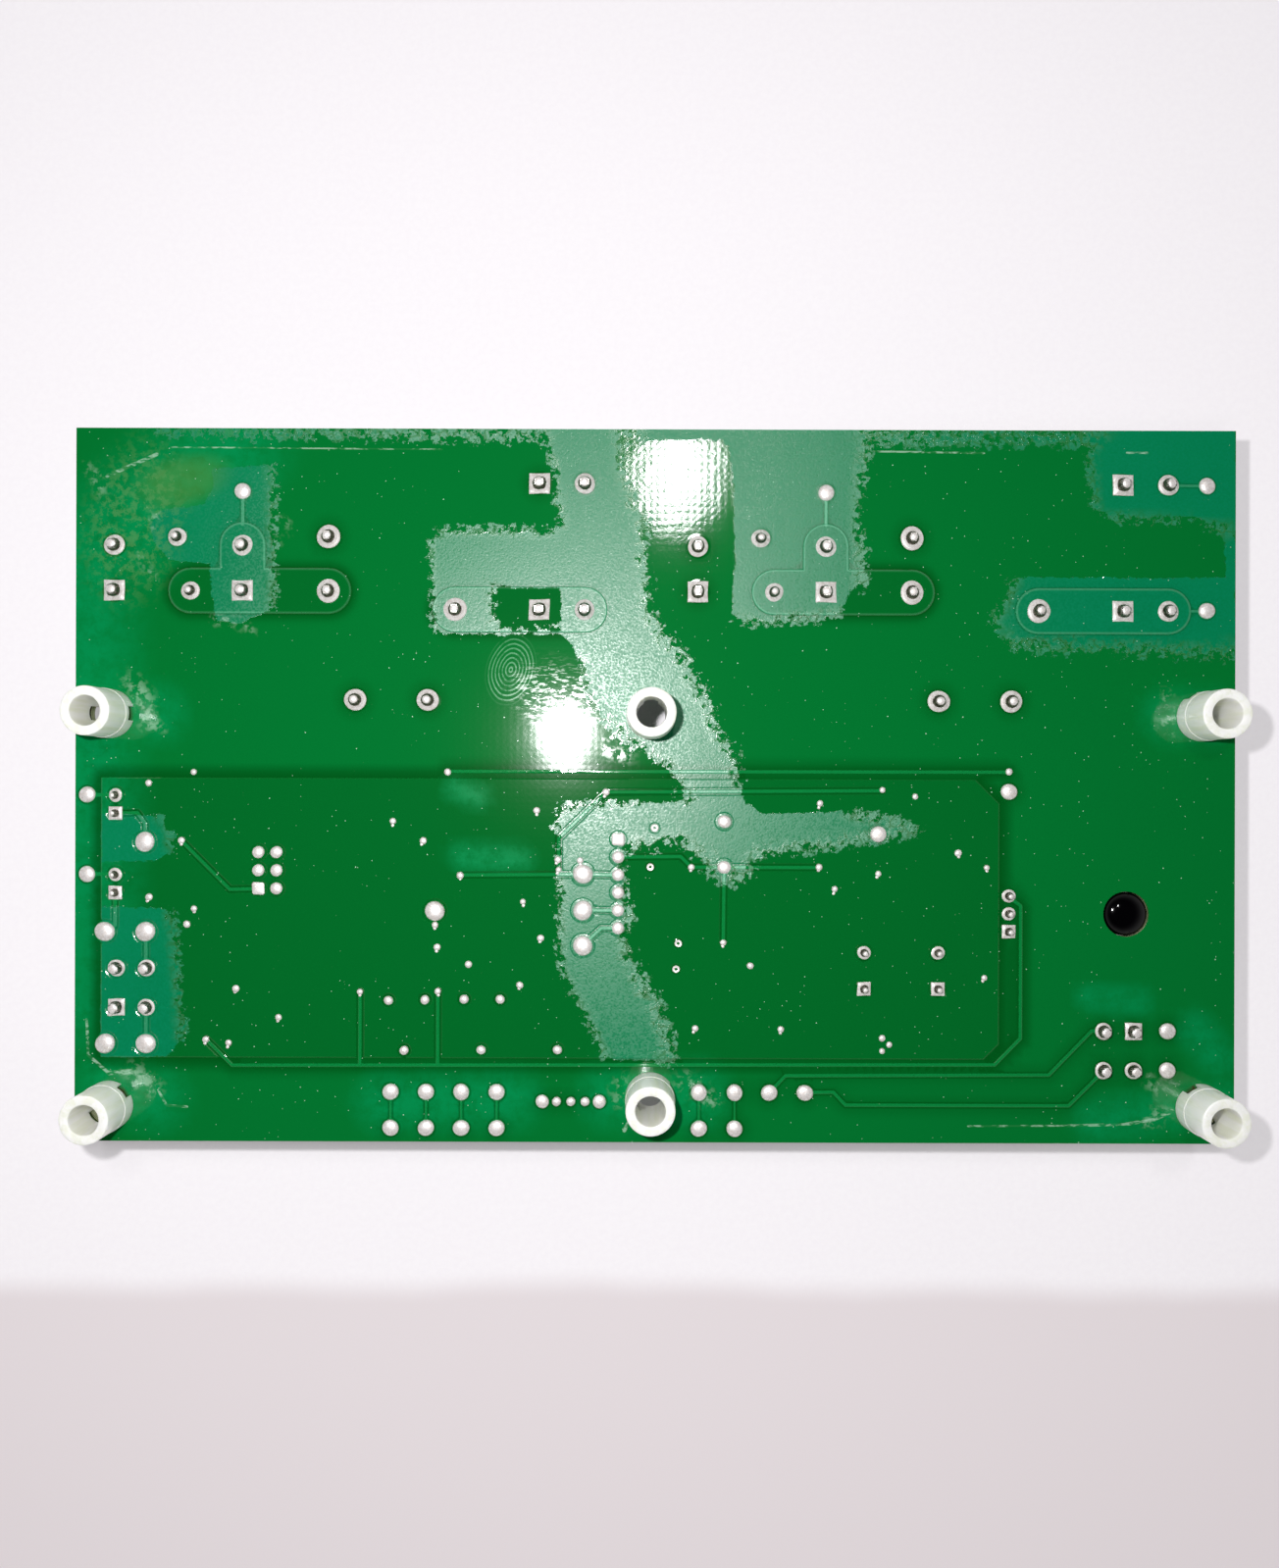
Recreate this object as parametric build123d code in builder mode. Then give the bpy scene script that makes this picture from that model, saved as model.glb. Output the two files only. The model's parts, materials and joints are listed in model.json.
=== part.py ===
from build123d import *
import os
from math import atan, cos, degrees, hypot, pi, sin, sqrt

os.makedirs("parts", exist_ok=True)

# The board lies component side down, as it would on a table: it rests on its relays and
# capacitors, its solder side looks up, and its six tubular standoffs point at the sky.
# Places are in millimetres from the board's centre, x to the right and y up, seen from above.

# Board
board_length = 162.6
board_width = 100.0
board_thickness = 1.6
copper_relief = 0.07
hole_clearance = 0.15
solder_stub = 1.7
left_edge = -board_length / 2
right_edge = board_length / 2
bottom_edge = -board_width / 2
top_edge = board_width / 2

# Small round things are drawn with flats, because there are so many of them
wire_sides = 8
drum_sides = 16
hole_sides = 6

# Relays
relay_width = 27.4
relay_depth = 32.2
relay_height = 20.4
relay_edge = 0.8
relay_wall = 1.1
relay_base_thickness = 2.4
relay_base_clearance = 0.1
relay_rim_gap = 0.3
relay_contact_pitch = 17.78
relay_coil_pitch = 10.16
relay_coil_inset = 4.05
relay_open_contact_rise = 12.7
relay_near_contact_rise = 15.24
relay_far_contact_rise = 22.86
contact_pin_width = 1.1
contact_pin_thickness = 0.8
coil_pin_size = 0.7

# Capacitors
capacitor_radius = 5.0
capacitor_length = 20.0
capacitor_gap = 0.4
capacitor_edge = 0.6
capacitor_bead_depth = 0.45
capacitor_bead_width = 1.2
capacitor_bead_rise = 3.2
bung_radius = 4.1
bung_depth = 1.8
capacitor_lead_pitch = 5.08
capacitor_lead_radius = 0.3

# Levels, counted from the table
component_face = max(relay_height, capacitor_length + capacitor_gap)
solder_face = component_face + board_thickness
island_face = solder_face + copper_relief

# Two equal channels, left and right of the middle
channel_pitch = 81.8
channel_centres = {"left": -channel_pitch / 2, "right": channel_pitch / 2}
relay_offset = 3.9
relay_coil_row = top_edge - 38.05
terminal_places = {
    1: (-35.0, top_edge - 19.6),
    2: (-17.05, top_edge - 19.6),
    3: (27.75, top_edge - 7.65),
    4: (27.75, top_edge - 25.35),
}
upright_terminals = (1, 2)
island_terminals = (2, 4)
varistor_offset = (-25.25, top_edge - 19.05)

# Blade terminals, 6.35 mm quick-connect tabs on two legs
blade_width = 6.35
blade_thickness = 0.8
blade_length = 7.8
blade_tip_chamfer = 1.2
blade_detent_radius = 0.8
blade_detent_inset = 3.6
shoulder_width = 8.6
shoulder_height = 2.2
leg_pitch = 6.35
leg_width = 1.2

# Disc varistors
varistor_radius = 7.6
varistor_thickness = 4.6
varistor_edge = 1.4
varistor_stand = 1.5
varistor_lead_radius = 0.4
varistor_lead_pitch = 7.54
varistor_lead_stagger = 1.9
varistor_lead_bury = 2.4

# Power connectors, two by two
connector_places = {
    "lower_left": (left_edge + 7.95, bottom_edge + 21.5),
    "lower_right": (right_edge - 16.25, bottom_edge + 13.0),
}
connector_column_pitch = 4.2
connector_row_pitch = 5.5
connector_width = 9.6
connector_depth = 9.8
connector_height = 12.8
connector_wall = 1.0
connector_floor = 3.4
connector_pin = 1.06
connector_pin_recess = 3.0
connector_square_pins = (0, 3)
latch_width = 3.4
latch_height = 2.2
latch_reach = 1.0

# Indicator lamps on the left edge
lamp_places = {"upper": (left_edge + 5.65, -2.78), "lower": (left_edge + 5.65, -13.92)}
lamp_radius = 1.5
lamp_flange_radius = 1.9
lamp_flange_height = 1.0
lamp_height = 5.2
lamp_nose = 1.0
lamp_nose_share = 0.55
lamp_lead_pitch = 2.54
lamp_lead = 0.5

# Infrared receiver, lying flat with its lens in the round window of the board
window_radius = 3.17
window_place = (right_edge - 15.25, -17.8)
receiver_lens_radius = 2.95
receiver_lens_recess = 0.2
receiver_lens_steps = (0, 35, 65)
receiver_crown_share = 0.15
receiver_body_length = 7.4
receiver_body_width = 6.4
receiver_body_height = 3.0
receiver_body_gap = 0.35
receiver_lead_run = 16.45
receiver_lead_pitch = 2.5
receiver_lead = 0.55
receiver_lead_drop = 2.0

# Capacitor places
capacitor_places = [(29.35, -25.85), (39.7, -25.85)]

# Tubular standoffs that snap into the board
standoff_inset = 4.8
upper_standoff_row = 9.9
lower_standoff_row = bottom_edge + 5.0
middle_standoff_place = -0.6
lower_middle_rise = 1.4
standoff_rows = {
    "upper": [
        (left_edge + standoff_inset, upper_standoff_row, 0),
        (middle_standoff_place, upper_standoff_row, 90),
        (right_edge - standoff_inset, upper_standoff_row, 118),
    ],
    "lower": [
        (left_edge + standoff_inset, lower_standoff_row, 42),
        (middle_standoff_place, lower_standoff_row + lower_middle_rise, 20),
        (right_edge - standoff_inset, lower_standoff_row, 118),
    ],
}
standoff_radius = 3.45
standoff_bore_radius = 2.05
standoff_height = 10.0
stem_radius = 2.55
stem_clearance = 0.1
barb_reach = 0.3
barb_gap = 0.1
barb_length = 1.9
notch_width = 2.0
notch_height = 1.1

# Solder: pad radii, and the height of the cones above the copper
contact_pad = 1.65
coil_pad = 1.55
terminal_pad = 1.45
varistor_pad = 1.3
connector_pad = 1.2
small_pad = 0.95
cone_height = 1.1
small_cone_height = 0.7
cone_rim = 0.12
dome_sides = 6
dome_height = 0.4
dome_crown = 0.6

# Pads that hold solder and no lead, each with the radius it has on the board
header_pad = 0.87
header_pitch = 2.54
block_header_place = (-54.33, -12.0)
row_header_place = (-5.17, -13.75)
row_header_pitch = 2.49
row_header_count = 6
large_test_pad = 1.4
test_pad = 1.15
medium_test_pad = 0.95
small_test_pad = 0.65
channel_test_offset = (-17.05, top_edge - 8.85)
lower_pad_rows = (bottom_edge + 1.95, bottom_edge + 7.0)
lower_pad_columns = (-36.97, -32.0, -27.07, -22.1, 6.25, 11.25)
small_pad_row = bottom_edge + 5.7
large_test_places = [
    (left_edge + 9.8, -8.05), (-30.85, -17.65), (-10.1, -12.4), (-10.1, -17.5), (-10.1, -22.45),
    (left_edge + 4.2, bottom_edge + 29.35), (left_edge + 9.9, bottom_edge + 29.35),
    (left_edge + 4.3, bottom_edge + 13.65), (left_edge + 10.0, bottom_edge + 13.65),
]
test_places = [
    (left_edge + 1.7, -1.45), (left_edge + 1.7, -12.6), (31.3, -6.7), (49.6, -0.7),
    (right_edge - 4.05, top_edge - 7.75), (right_edge - 4.05, top_edge - 25.25),
    (right_edge - 9.4, bottom_edge + 15.8), (right_edge - 9.4, bottom_edge + 10.3),
    (16.1, lower_pad_rows[1]), (21.1, lower_pad_rows[1]),
]
test_places += [(column, row) for column in lower_pad_columns for row in lower_pad_rows]
test_places += [
    (centre + channel_test_offset[0], channel_test_offset[1]) for centre in channel_centres.values()
]
medium_test_places = [(9.7, -5.0), (9.7, -11.4), (-15.7, small_pad_row), (-7.7, small_pad_row)]
small_test_places = [
    (-37.3, -30.2), (-32.2, -30.1), (-26.7, -30.0), (-21.65, -30.0), (-35.1, -37.2), (-24.3, -37.1),
    (-13.6, -37.05), (-13.7, small_pad_row), (-11.7, small_pad_row), (-9.7, small_pad_row),
]

# Copper islands that carry the load current
island_half_width = 3.15
feed_island = (-24.25, relay_offset - relay_contact_pitch / 2)
feed_island_row = relay_coil_row + relay_near_contact_rise
feed_arm_top = terminal_places[2][1] + leg_pitch / 2
load_island = (relay_offset + relay_contact_pitch / 2, terminal_places[4][0] + leg_pitch / 2)
load_island_row = terminal_places[4][1]

# Chips and small parts of the component side
controller_place = (-19.0, -13.5)
controller_length = 11.5
controller_width = 7.5
controller_height = 2.3
controller_stand = 0.1
controller_lead_pitch = 1.27
controller_lead_count = 9
controller_lead_width = 0.45
controller_lead_thickness = 0.25
controller_lead_reach = 1.4
controller_lead_rise = 1.1
crystal_place = (-33.0, -10.5)
crystal_length = 11.4
crystal_width = 4.7
crystal_height = 4.0
regulator_place = (-58.5, -24.5)
regulator_length = 6.5
regulator_width = 3.5
regulator_height = 1.7
regulator_tab_width = 3.0
regulator_tab_reach = 1.7
regulator_tab_thickness = 0.3
driver_places = [(-43.0, 2.5), (38.8, 2.5)]
driver_length = 2.9
driver_width = 1.4
driver_height = 1.1
driver_pin_width = 0.4
driver_pin_reach = 0.6
driver_pin_thickness = 0.2
diode_places = [(-37.0, 4.2), (44.8, 4.2), (-62.0, -33.5)]
diode_length = 4.4
diode_width = 2.6
diode_height = 2.2
chip_resistor_places = [
    (-66.0, -4.5), (-66.0, -11.0), (-47.5, -2.5), (-33.0, -3.5), (-33.0, -25.0), (-42.0, -22.5),
    (6.0, -17.0), (14.5, -17.0), (14.5, -30.0), (23.5, -14.5), (42.5, -4.0), (34.5, -3.5),
    (56.5, -15.5), (56.5, -21.0), (-30.0, -40.0), (9.0, -40.0),
]
chip_resistor_size = (2.0, 1.25, 0.55)
chip_capacitor_places = [
    (-49.0, -24.5), (-49.0, -30.0), (-27.0, -4.0), (-27.0, -23.0), (-41.0, -14.0), (58.0, -18.4),
    (22.5, -30.0), (3.0, -28.0),
]
chip_capacitor_size = (2.0, 1.25, 1.1)


def down_from(level):
    """A sketch plane at a height above the table, whose normal looks down at the table."""
    return Plane((0, 0, level), x_dir=(1, 0, 0), z_dir=(0, 0, -1))


def shift(place, dx=0.0, dy=0.0):
    """A place on the board, moved by dx and dy."""
    return (place[0] + dx, place[1] + dy)


def below(place):
    """The same place in a plane that looks down, where y runs the other way."""
    return (place[0], -place[1])


def finish(piece, name):
    """Labels a finished piece and writes it."""
    piece.part.label = name
    export_step(piece.part, f"parts/{name}.step")


def frustum(level, start_radius, end_radius, height, sides):
    """A straight drum or cone with flats, which stands on a level and runs upwards."""
    inset = (start_radius - end_radius) * cos(pi / sides)
    with BuildPart() as band:
        with BuildSketch(Plane.XY.offset(level)):
            RegularPolygon(start_radius, sides)
        extrude(amount=height, taper=degrees(atan(inset / height)))
    return band.part


def turned(level, bands, sides):
    """A stack of frustums, each given by its first radius, last radius and height."""
    with BuildPart() as stack:
        for start_radius, end_radius, height in bands:
            add(frustum(level, start_radius, end_radius, height, sides))
            level += height
    return stack.part


# Where every lead comes through the board, by kind of part
relay_contacts = {}
relay_coils = {}
terminal_legs = {}
varistor_leads = {}
for side, centre in channel_centres.items():
    relay_x = centre + relay_offset
    relay_contacts[side] = [
        (relay_x - relay_contact_pitch / 2, relay_coil_row + relay_near_contact_rise),
        (relay_x - relay_contact_pitch / 2, relay_coil_row + relay_far_contact_rise),
        (relay_x + relay_contact_pitch / 2, relay_coil_row + relay_open_contact_rise),
    ]
    relay_coils[side] = [
        (relay_x - relay_coil_pitch / 2, relay_coil_row),
        (relay_x + relay_coil_pitch / 2, relay_coil_row),
    ]
    for number, (dx, row) in terminal_places.items():
        along = (0, leg_pitch / 2) if number in upright_terminals else (leg_pitch / 2, 0)
        middle = (centre + dx, row)
        terminal_legs[side, number] = [
            shift(middle, -along[0], -along[1]), shift(middle, along[0], along[1])
        ]
    middle = (centre + varistor_offset[0], varistor_offset[1])
    varistor_leads[side] = [
        shift(middle, -varistor_lead_stagger / 2, varistor_lead_pitch / 2),
        shift(middle, varistor_lead_stagger / 2, -varistor_lead_pitch / 2),
    ]

connector_pins = {
    name: [
        shift(place, dx * connector_column_pitch / 2, dy * connector_row_pitch / 2)
        for dx in (-1, 1)
        for dy in (-1, 1)
    ]
    for name, place in connector_places.items()
}
lamp_leads = [
    shift(place, 0, dy * lamp_lead_pitch / 2) for place in lamp_places.values() for dy in (-1, 1)
]
capacitor_leads = [
    shift(place, 0, dy * capacitor_lead_pitch / 2) for place in capacitor_places for dy in (-1, 1)
]
receiver_leads = [
    (window_place[0] - receiver_lead_run, window_place[1] + step * receiver_lead_pitch)
    for step in (-1, 0, 1)
]

# Drilled holes: a round hole takes the lead's diagonal and a clearance
contact_hole = hypot(contact_pin_width, contact_pin_thickness) / 2 + hole_clearance
coil_hole = hypot(coil_pin_size, coil_pin_size) / 2 + hole_clearance
terminal_hole = hypot(leg_width, blade_thickness) / 2 + hole_clearance
varistor_hole = varistor_lead_radius + hole_clearance
connector_hole = hypot(connector_pin, connector_pin) / 2 + hole_clearance
lamp_hole = hypot(lamp_lead, lamp_lead) / 2 + hole_clearance
receiver_hole = hypot(receiver_lead, receiver_lead) / 2 + hole_clearance
capacitor_hole = capacitor_lead_radius + hole_clearance
stem_hole = stem_radius + stem_clearance

lead_holes = [(point, contact_hole) for points in relay_contacts.values() for point in points]
lead_holes += [(point, coil_hole) for points in relay_coils.values() for point in points]
lead_holes += [(point, terminal_hole) for points in terminal_legs.values() for point in points]
lead_holes += [(point, varistor_hole) for points in varistor_leads.values() for point in points]
lead_holes += [(point, connector_hole) for points in connector_pins.values() for point in points]
lead_holes += [(point, lamp_hole) for point in lamp_leads]
lead_holes += [(point, receiver_hole) for point in receiver_leads]
lead_holes += [(point, capacitor_hole) for point in capacitor_leads]
round_holes = [((x, y), stem_hole) for row in standoff_rows.values() for x, y, turn in row]
round_holes += [(window_place, window_radius)]

# Circuit board with its raised copper islands, drilled through
with BuildPart() as circuit_board:
    with BuildSketch(Plane.XY.offset(component_face)):
        Rectangle(board_length, board_width)
    extrude(amount=board_thickness)
    with BuildSketch(Plane.XY.offset(solder_face)):
        for centre in channel_centres.values():
            arm_x = centre + terminal_places[2][0]
            for start, end in (
                ((centre + feed_island[0], feed_island_row), (centre + feed_island[1], feed_island_row)),
                ((centre + load_island[0], load_island_row), (centre + load_island[1], load_island_row)),
                ((arm_x, feed_island_row), (arm_x, feed_arm_top)),
            ):
                length = end[0] - start[0]
                height = end[1] - start[1]
                with Locations(start, end):
                    RegularPolygon(island_half_width, drum_sides)
                with Locations(shift(start, length / 2, height / 2)):
                    Rectangle(max(length, 2 * island_half_width), max(height, 2 * island_half_width))
    extrude(amount=copper_relief)
    with BuildSketch(Plane.XY.offset(component_face)):
        for point, radius in lead_holes:
            with Locations(point):
                RegularPolygon(radius / cos(pi / hole_sides), hole_sides)
        for point, radius in round_holes:
            with Locations(point):
                Circle(radius)
    extrude(amount=board_thickness + copper_relief, mode=Mode.SUBTRACT)
finish(circuit_board, "circuit_board")

# Standoffs: a tube on the solder side, and a split stem with barbs through the board
barb_top = component_face - barb_gap
stem_tip = barb_top - barb_length
stem_bands = [
    (stem_radius - barb_reach, stem_radius + barb_reach, barb_length),
    (stem_radius, stem_radius, solder_face - barb_top),
]
with BuildPart() as standoff:
    add(turned(stem_tip, stem_bands, drum_sides))
    with BuildSketch(Plane.XY.offset(solder_face)):
        Circle(standoff_radius)
    extrude(amount=standoff_height)
    with BuildSketch(Plane.XY.offset(stem_tip)):
        Circle(standoff_bore_radius)
    extrude(amount=solder_face + standoff_height - stem_tip, mode=Mode.SUBTRACT)
    with BuildSketch(Plane.XY.offset(stem_tip)):
        Rectangle(2 * standoff_radius, notch_width)
    extrude(amount=solder_face + notch_height - stem_tip, mode=Mode.SUBTRACT)
for row_name, row in standoff_rows.items():
    with BuildPart() as standoff_row:
        for x, y, turn in row:
            with Locations(Location((x, y, 0), (0, 0, turn))):
                add(standoff.part)
    finish(standoff_row, f"{row_name}_standoffs")


def square_pins(name, points, width, depth, bottom, top):
    """A group of straight pins of one rectangular section between two levels."""
    with BuildPart() as pins:
        with BuildSketch(Plane.XY.offset(bottom)):
            with Locations(*points):
                Rectangle(width, depth)
        extrude(amount=top - bottom)
    finish(pins, name)


def round_pins(name, points, radius, bottom, top):
    """A group of straight wire leads between two levels."""
    with BuildPart() as pins:
        with BuildSketch(Plane.XY.offset(bottom)):
            with Locations(*points):
                RegularPolygon(radius, wire_sides)
        extrude(amount=top - bottom)
    finish(pins, name)


# Relays: a case open towards the board, a base plate in its mouth, and five pins through both
pin_tip = solder_face + solder_stub
relay_rim = component_face - relay_rim_gap
relay_mouth_width = relay_width - 2 * relay_wall
relay_mouth_depth = relay_depth - 2 * relay_wall
base_bottom = component_face - relay_base_thickness
for side, centre in channel_centres.items():
    relay_centre = (centre + relay_offset, relay_coil_row - relay_coil_inset + relay_depth / 2)
    with BuildPart() as relay_case:
        with BuildSketch(down_from(relay_rim)) as case_outline:
            with Locations(below(relay_centre)):
                Rectangle(relay_width, relay_depth)
            chamfer(case_outline.vertices(), relay_edge)
        extrude(amount=relay_height - relay_rim_gap)
        chamfer(relay_case.faces().sort_by(Axis.Z)[0].edges(), relay_edge / 2)
        with BuildSketch(down_from(relay_rim)):
            with Locations(below(relay_centre)):
                Rectangle(relay_mouth_width, relay_mouth_depth)
        extrude(amount=relay_base_thickness - relay_rim_gap, mode=Mode.SUBTRACT)
    finish(relay_case, f"{side}_relay_case")
    with BuildPart() as relay_base:
        with BuildSketch(down_from(component_face)):
            with Locations(below(relay_centre)):
                Rectangle(
                    relay_mouth_width - 2 * relay_base_clearance,
                    relay_mouth_depth - 2 * relay_base_clearance,
                )
            with Locations(*[below(point) for point in relay_contacts[side]]):
                Rectangle(contact_pin_thickness, contact_pin_width, mode=Mode.SUBTRACT)
            with Locations(*[below(point) for point in relay_coils[side]]):
                Rectangle(coil_pin_size, coil_pin_size, mode=Mode.SUBTRACT)
        extrude(amount=relay_base_thickness)
    finish(relay_base, f"{side}_relay_base")
    with BuildPart() as relay_pins:
        with BuildSketch(Plane.XY.offset(base_bottom)):
            with Locations(*relay_contacts[side]):
                Rectangle(contact_pin_thickness, contact_pin_width)
            with Locations(*relay_coils[side]):
                Rectangle(coil_pin_size, coil_pin_size)
        extrude(amount=pin_tip - base_bottom)
    finish(relay_pins, f"{side}_relay_pins")

# Blade terminals: one stamped sheet with a blade, a shoulder on the board and two legs
with BuildPart() as blade_terminal:
    with BuildSketch(Plane.XZ.offset(-blade_thickness / 2)):
        with BuildLine():
            Polyline(
                (-shoulder_width / 2, component_face),
                (-shoulder_width / 2, component_face - shoulder_height),
                (-blade_width / 2, component_face - shoulder_height),
                (-blade_width / 2, component_face - shoulder_height - blade_length + blade_tip_chamfer),
                (-blade_width / 2 + blade_tip_chamfer, component_face - shoulder_height - blade_length),
                (blade_width / 2 - blade_tip_chamfer, component_face - shoulder_height - blade_length),
                (blade_width / 2, component_face - shoulder_height - blade_length + blade_tip_chamfer),
                (blade_width / 2, component_face - shoulder_height),
                (shoulder_width / 2, component_face - shoulder_height),
                (shoulder_width / 2, component_face),
                close=True,
            )
        make_face()
        with Locations((-leg_pitch / 2, component_face), (leg_pitch / 2, component_face)):
            Rectangle(leg_width, board_thickness + solder_stub, align=(Align.CENTER, Align.MIN))
        detent_level = component_face - shoulder_height - blade_length + blade_detent_inset
        with Locations((0, detent_level)):
            RegularPolygon(blade_detent_radius, wire_sides, mode=Mode.SUBTRACT)
    extrude(amount=blade_thickness)
for side, centre in channel_centres.items():
    for number, (dx, row) in terminal_places.items():
        turn = 90 if number in upright_terminals else 0
        with BuildPart() as placed_terminal:
            with Locations(Location((centre + dx, row, 0), (0, 0, turn))):
                add(blade_terminal.part)
        finish(placed_terminal, f"{side}_blade_terminal_{number}")

# Disc varistors: a coated disc on edge, its two leads leaving on opposite faces
disc_level = component_face - varistor_stand - varistor_radius
lead_entry = sqrt(varistor_radius**2 - (varistor_lead_pitch / 2) ** 2)
lead_bottom = disc_level + lead_entry - varistor_lead_bury
disc_bands = [
    (varistor_radius - varistor_edge, varistor_radius, varistor_edge),
    (varistor_radius, varistor_radius, varistor_thickness - 2 * varistor_edge),
    (varistor_radius, varistor_radius - varistor_edge, varistor_edge),
]
for side, centre in channel_centres.items():
    with BuildPart() as varistor_disc:
        with Locations(Location((centre + varistor_offset[0], varistor_offset[1], disc_level), (0, 90, 0))):
            add(turned(-varistor_thickness / 2, disc_bands, drum_sides))
        with BuildSketch(Plane.XY.offset(lead_bottom)):
            with Locations(*varistor_leads[side]):
                RegularPolygon(varistor_lead_radius, wire_sides)
        extrude(amount=component_face - lead_bottom, mode=Mode.SUBTRACT)
    finish(varistor_disc, f"{side}_varistor_disc")
round_pins(
    "varistor_leads",
    [point for points in varistor_leads.values() for point in points],
    varistor_lead_radius,
    lead_bottom,
    pin_tip,
)

# Power connectors: a shroud with a floor on the board, a latch ramp, and four square pins
connector_mouth = component_face - connector_height
for name, place in connector_places.items():
    with BuildPart() as connector_shroud:
        with BuildSketch(down_from(component_face)):
            with Locations(below(place)):
                Rectangle(connector_width, connector_depth)
        extrude(amount=connector_height)
        with BuildSketch(Plane.XY.offset(connector_mouth)):
            with Locations(place):
                Rectangle(connector_width - 2 * connector_wall, connector_depth - 2 * connector_wall)
        extrude(amount=connector_height - connector_floor, mode=Mode.SUBTRACT)
        with BuildSketch(down_from(component_face)):
            with Locations(*[below(point) for point in connector_pins[name]]):
                Rectangle(connector_pin, connector_pin)
        extrude(amount=connector_floor, mode=Mode.SUBTRACT)
        latch_root = place[1] + connector_depth / 2
        with BuildSketch(Plane.YZ.offset(place[0] - latch_width / 2)):
            with BuildLine():
                Polyline(
                    (latch_root, connector_mouth),
                    (latch_root + latch_reach, connector_mouth + latch_height),
                    (latch_root, connector_mouth + latch_height),
                    close=True,
                )
            make_face()
        extrude(amount=latch_width)
    finish(connector_shroud, f"{name}_connector_shroud")
    square_pins(
        f"{name}_connector_pins",
        connector_pins[name],
        connector_pin,
        connector_pin,
        connector_mouth + connector_pin_recess,
        pin_tip,
    )

# Indicator lamps: a moulded lens with a flange on the board
lamp_bands = [
    (lamp_radius * lamp_nose_share, lamp_radius, lamp_nose),
    (lamp_radius, lamp_radius, lamp_height - lamp_nose - lamp_flange_height),
    (lamp_flange_radius, lamp_flange_radius, lamp_flange_height),
]
for name, place in lamp_places.items():
    with BuildPart() as lamp:
        with Locations((place[0], place[1], 0)):
            add(turned(component_face - lamp_height, lamp_bands, wire_sides))
    finish(lamp, f"{name}_lamp")
square_pins("lamp_leads", lamp_leads, lamp_lead, lamp_lead, component_face, pin_tip)

# Infrared receiver: a block under the board whose lens looks up through the window
body_top = component_face - receiver_body_gap
lens_centre = solder_face - receiver_lens_recess - receiver_lens_radius
lens_rings = [
    (receiver_lens_radius * cos(angle * pi / 180), receiver_lens_radius * sin(angle * pi / 180))
    for angle in receiver_lens_steps
]
lens_crown = (receiver_lens_radius * receiver_crown_share, receiver_lens_radius)
lens_bands = [
    (start_radius, end_radius, end - start)
    for (start_radius, start), (end_radius, end) in zip(lens_rings, lens_rings[1:] + [lens_crown])
]
with BuildPart() as receiver_body:
    with BuildSketch(down_from(body_top)):
        with Locations(below(window_place)):
            Rectangle(receiver_body_length, receiver_body_width)
    extrude(amount=receiver_body_height)
    with Locations((window_place[0], window_place[1], 0)):
        add(turned(lens_centre, lens_bands, drum_sides))
finish(receiver_body, "receiver_body")
lead_level = component_face - receiver_lead_drop
receiver_edge = window_place[0] - receiver_body_length / 2
with BuildPart() as receiver_lead_group:
    for x, y in receiver_leads:
        with BuildSketch(Plane.XZ.offset(-y - receiver_lead / 2)):
            with BuildLine():
                Polyline(
                    (x - receiver_lead / 2, pin_tip),
                    (x - receiver_lead / 2, lead_level - receiver_lead),
                    (receiver_edge, lead_level - receiver_lead),
                    (receiver_edge, lead_level),
                    (x + receiver_lead / 2, lead_level),
                    (x + receiver_lead / 2, pin_tip),
                    close=True,
                )
            make_face()
        extrude(amount=receiver_lead)
finish(receiver_lead_group, "receiver_leads")

# Radial capacitors: a beaded can, the rubber bung in its mouth and two leads
can_mouth = component_face - capacitor_gap
bung_face = can_mouth - bung_depth
bead_radius = capacitor_radius - capacitor_bead_depth
below_bead = capacitor_length - capacitor_edge - capacitor_bead_rise - capacitor_bead_width / 2
can_bands = [
    (capacitor_radius - capacitor_edge, capacitor_radius, capacitor_edge),
    (capacitor_radius, capacitor_radius, below_bead),
    (capacitor_radius, bead_radius, capacitor_bead_width / 2),
    (bead_radius, capacitor_radius, capacitor_bead_width / 2),
    (capacitor_radius, capacitor_radius, capacitor_bead_rise - capacitor_bead_width / 2),
]
with BuildPart() as capacitor_can:
    add(turned(can_mouth - capacitor_length, can_bands, drum_sides))
    with BuildSketch(Plane.XY.offset(bung_face)):
        RegularPolygon(bung_radius, drum_sides)
    extrude(amount=bung_depth, mode=Mode.SUBTRACT)
with BuildPart() as capacitor_bung:
    with BuildSketch(Plane.XY.offset(bung_face)):
        RegularPolygon(bung_radius, drum_sides)
        with GridLocations(0, capacitor_lead_pitch, 1, 2):
            RegularPolygon(capacitor_lead_radius, wire_sides, mode=Mode.SUBTRACT)
    extrude(amount=bung_depth)
for number, (x, y) in enumerate(capacitor_places, start=1):
    with BuildPart() as placed_can:
        with Locations((x, y, 0)):
            add(capacitor_can.part)
    finish(placed_can, f"capacitor_can_{number}")
with BuildPart() as placed_bungs:
    for x, y in capacitor_places:
        with Locations((x, y, 0)):
            add(capacitor_bung.part)
finish(placed_bungs, "capacitor_bungs")
round_pins("capacitor_leads", capacitor_leads, capacitor_lead_radius, bung_face, pin_tip)


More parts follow.
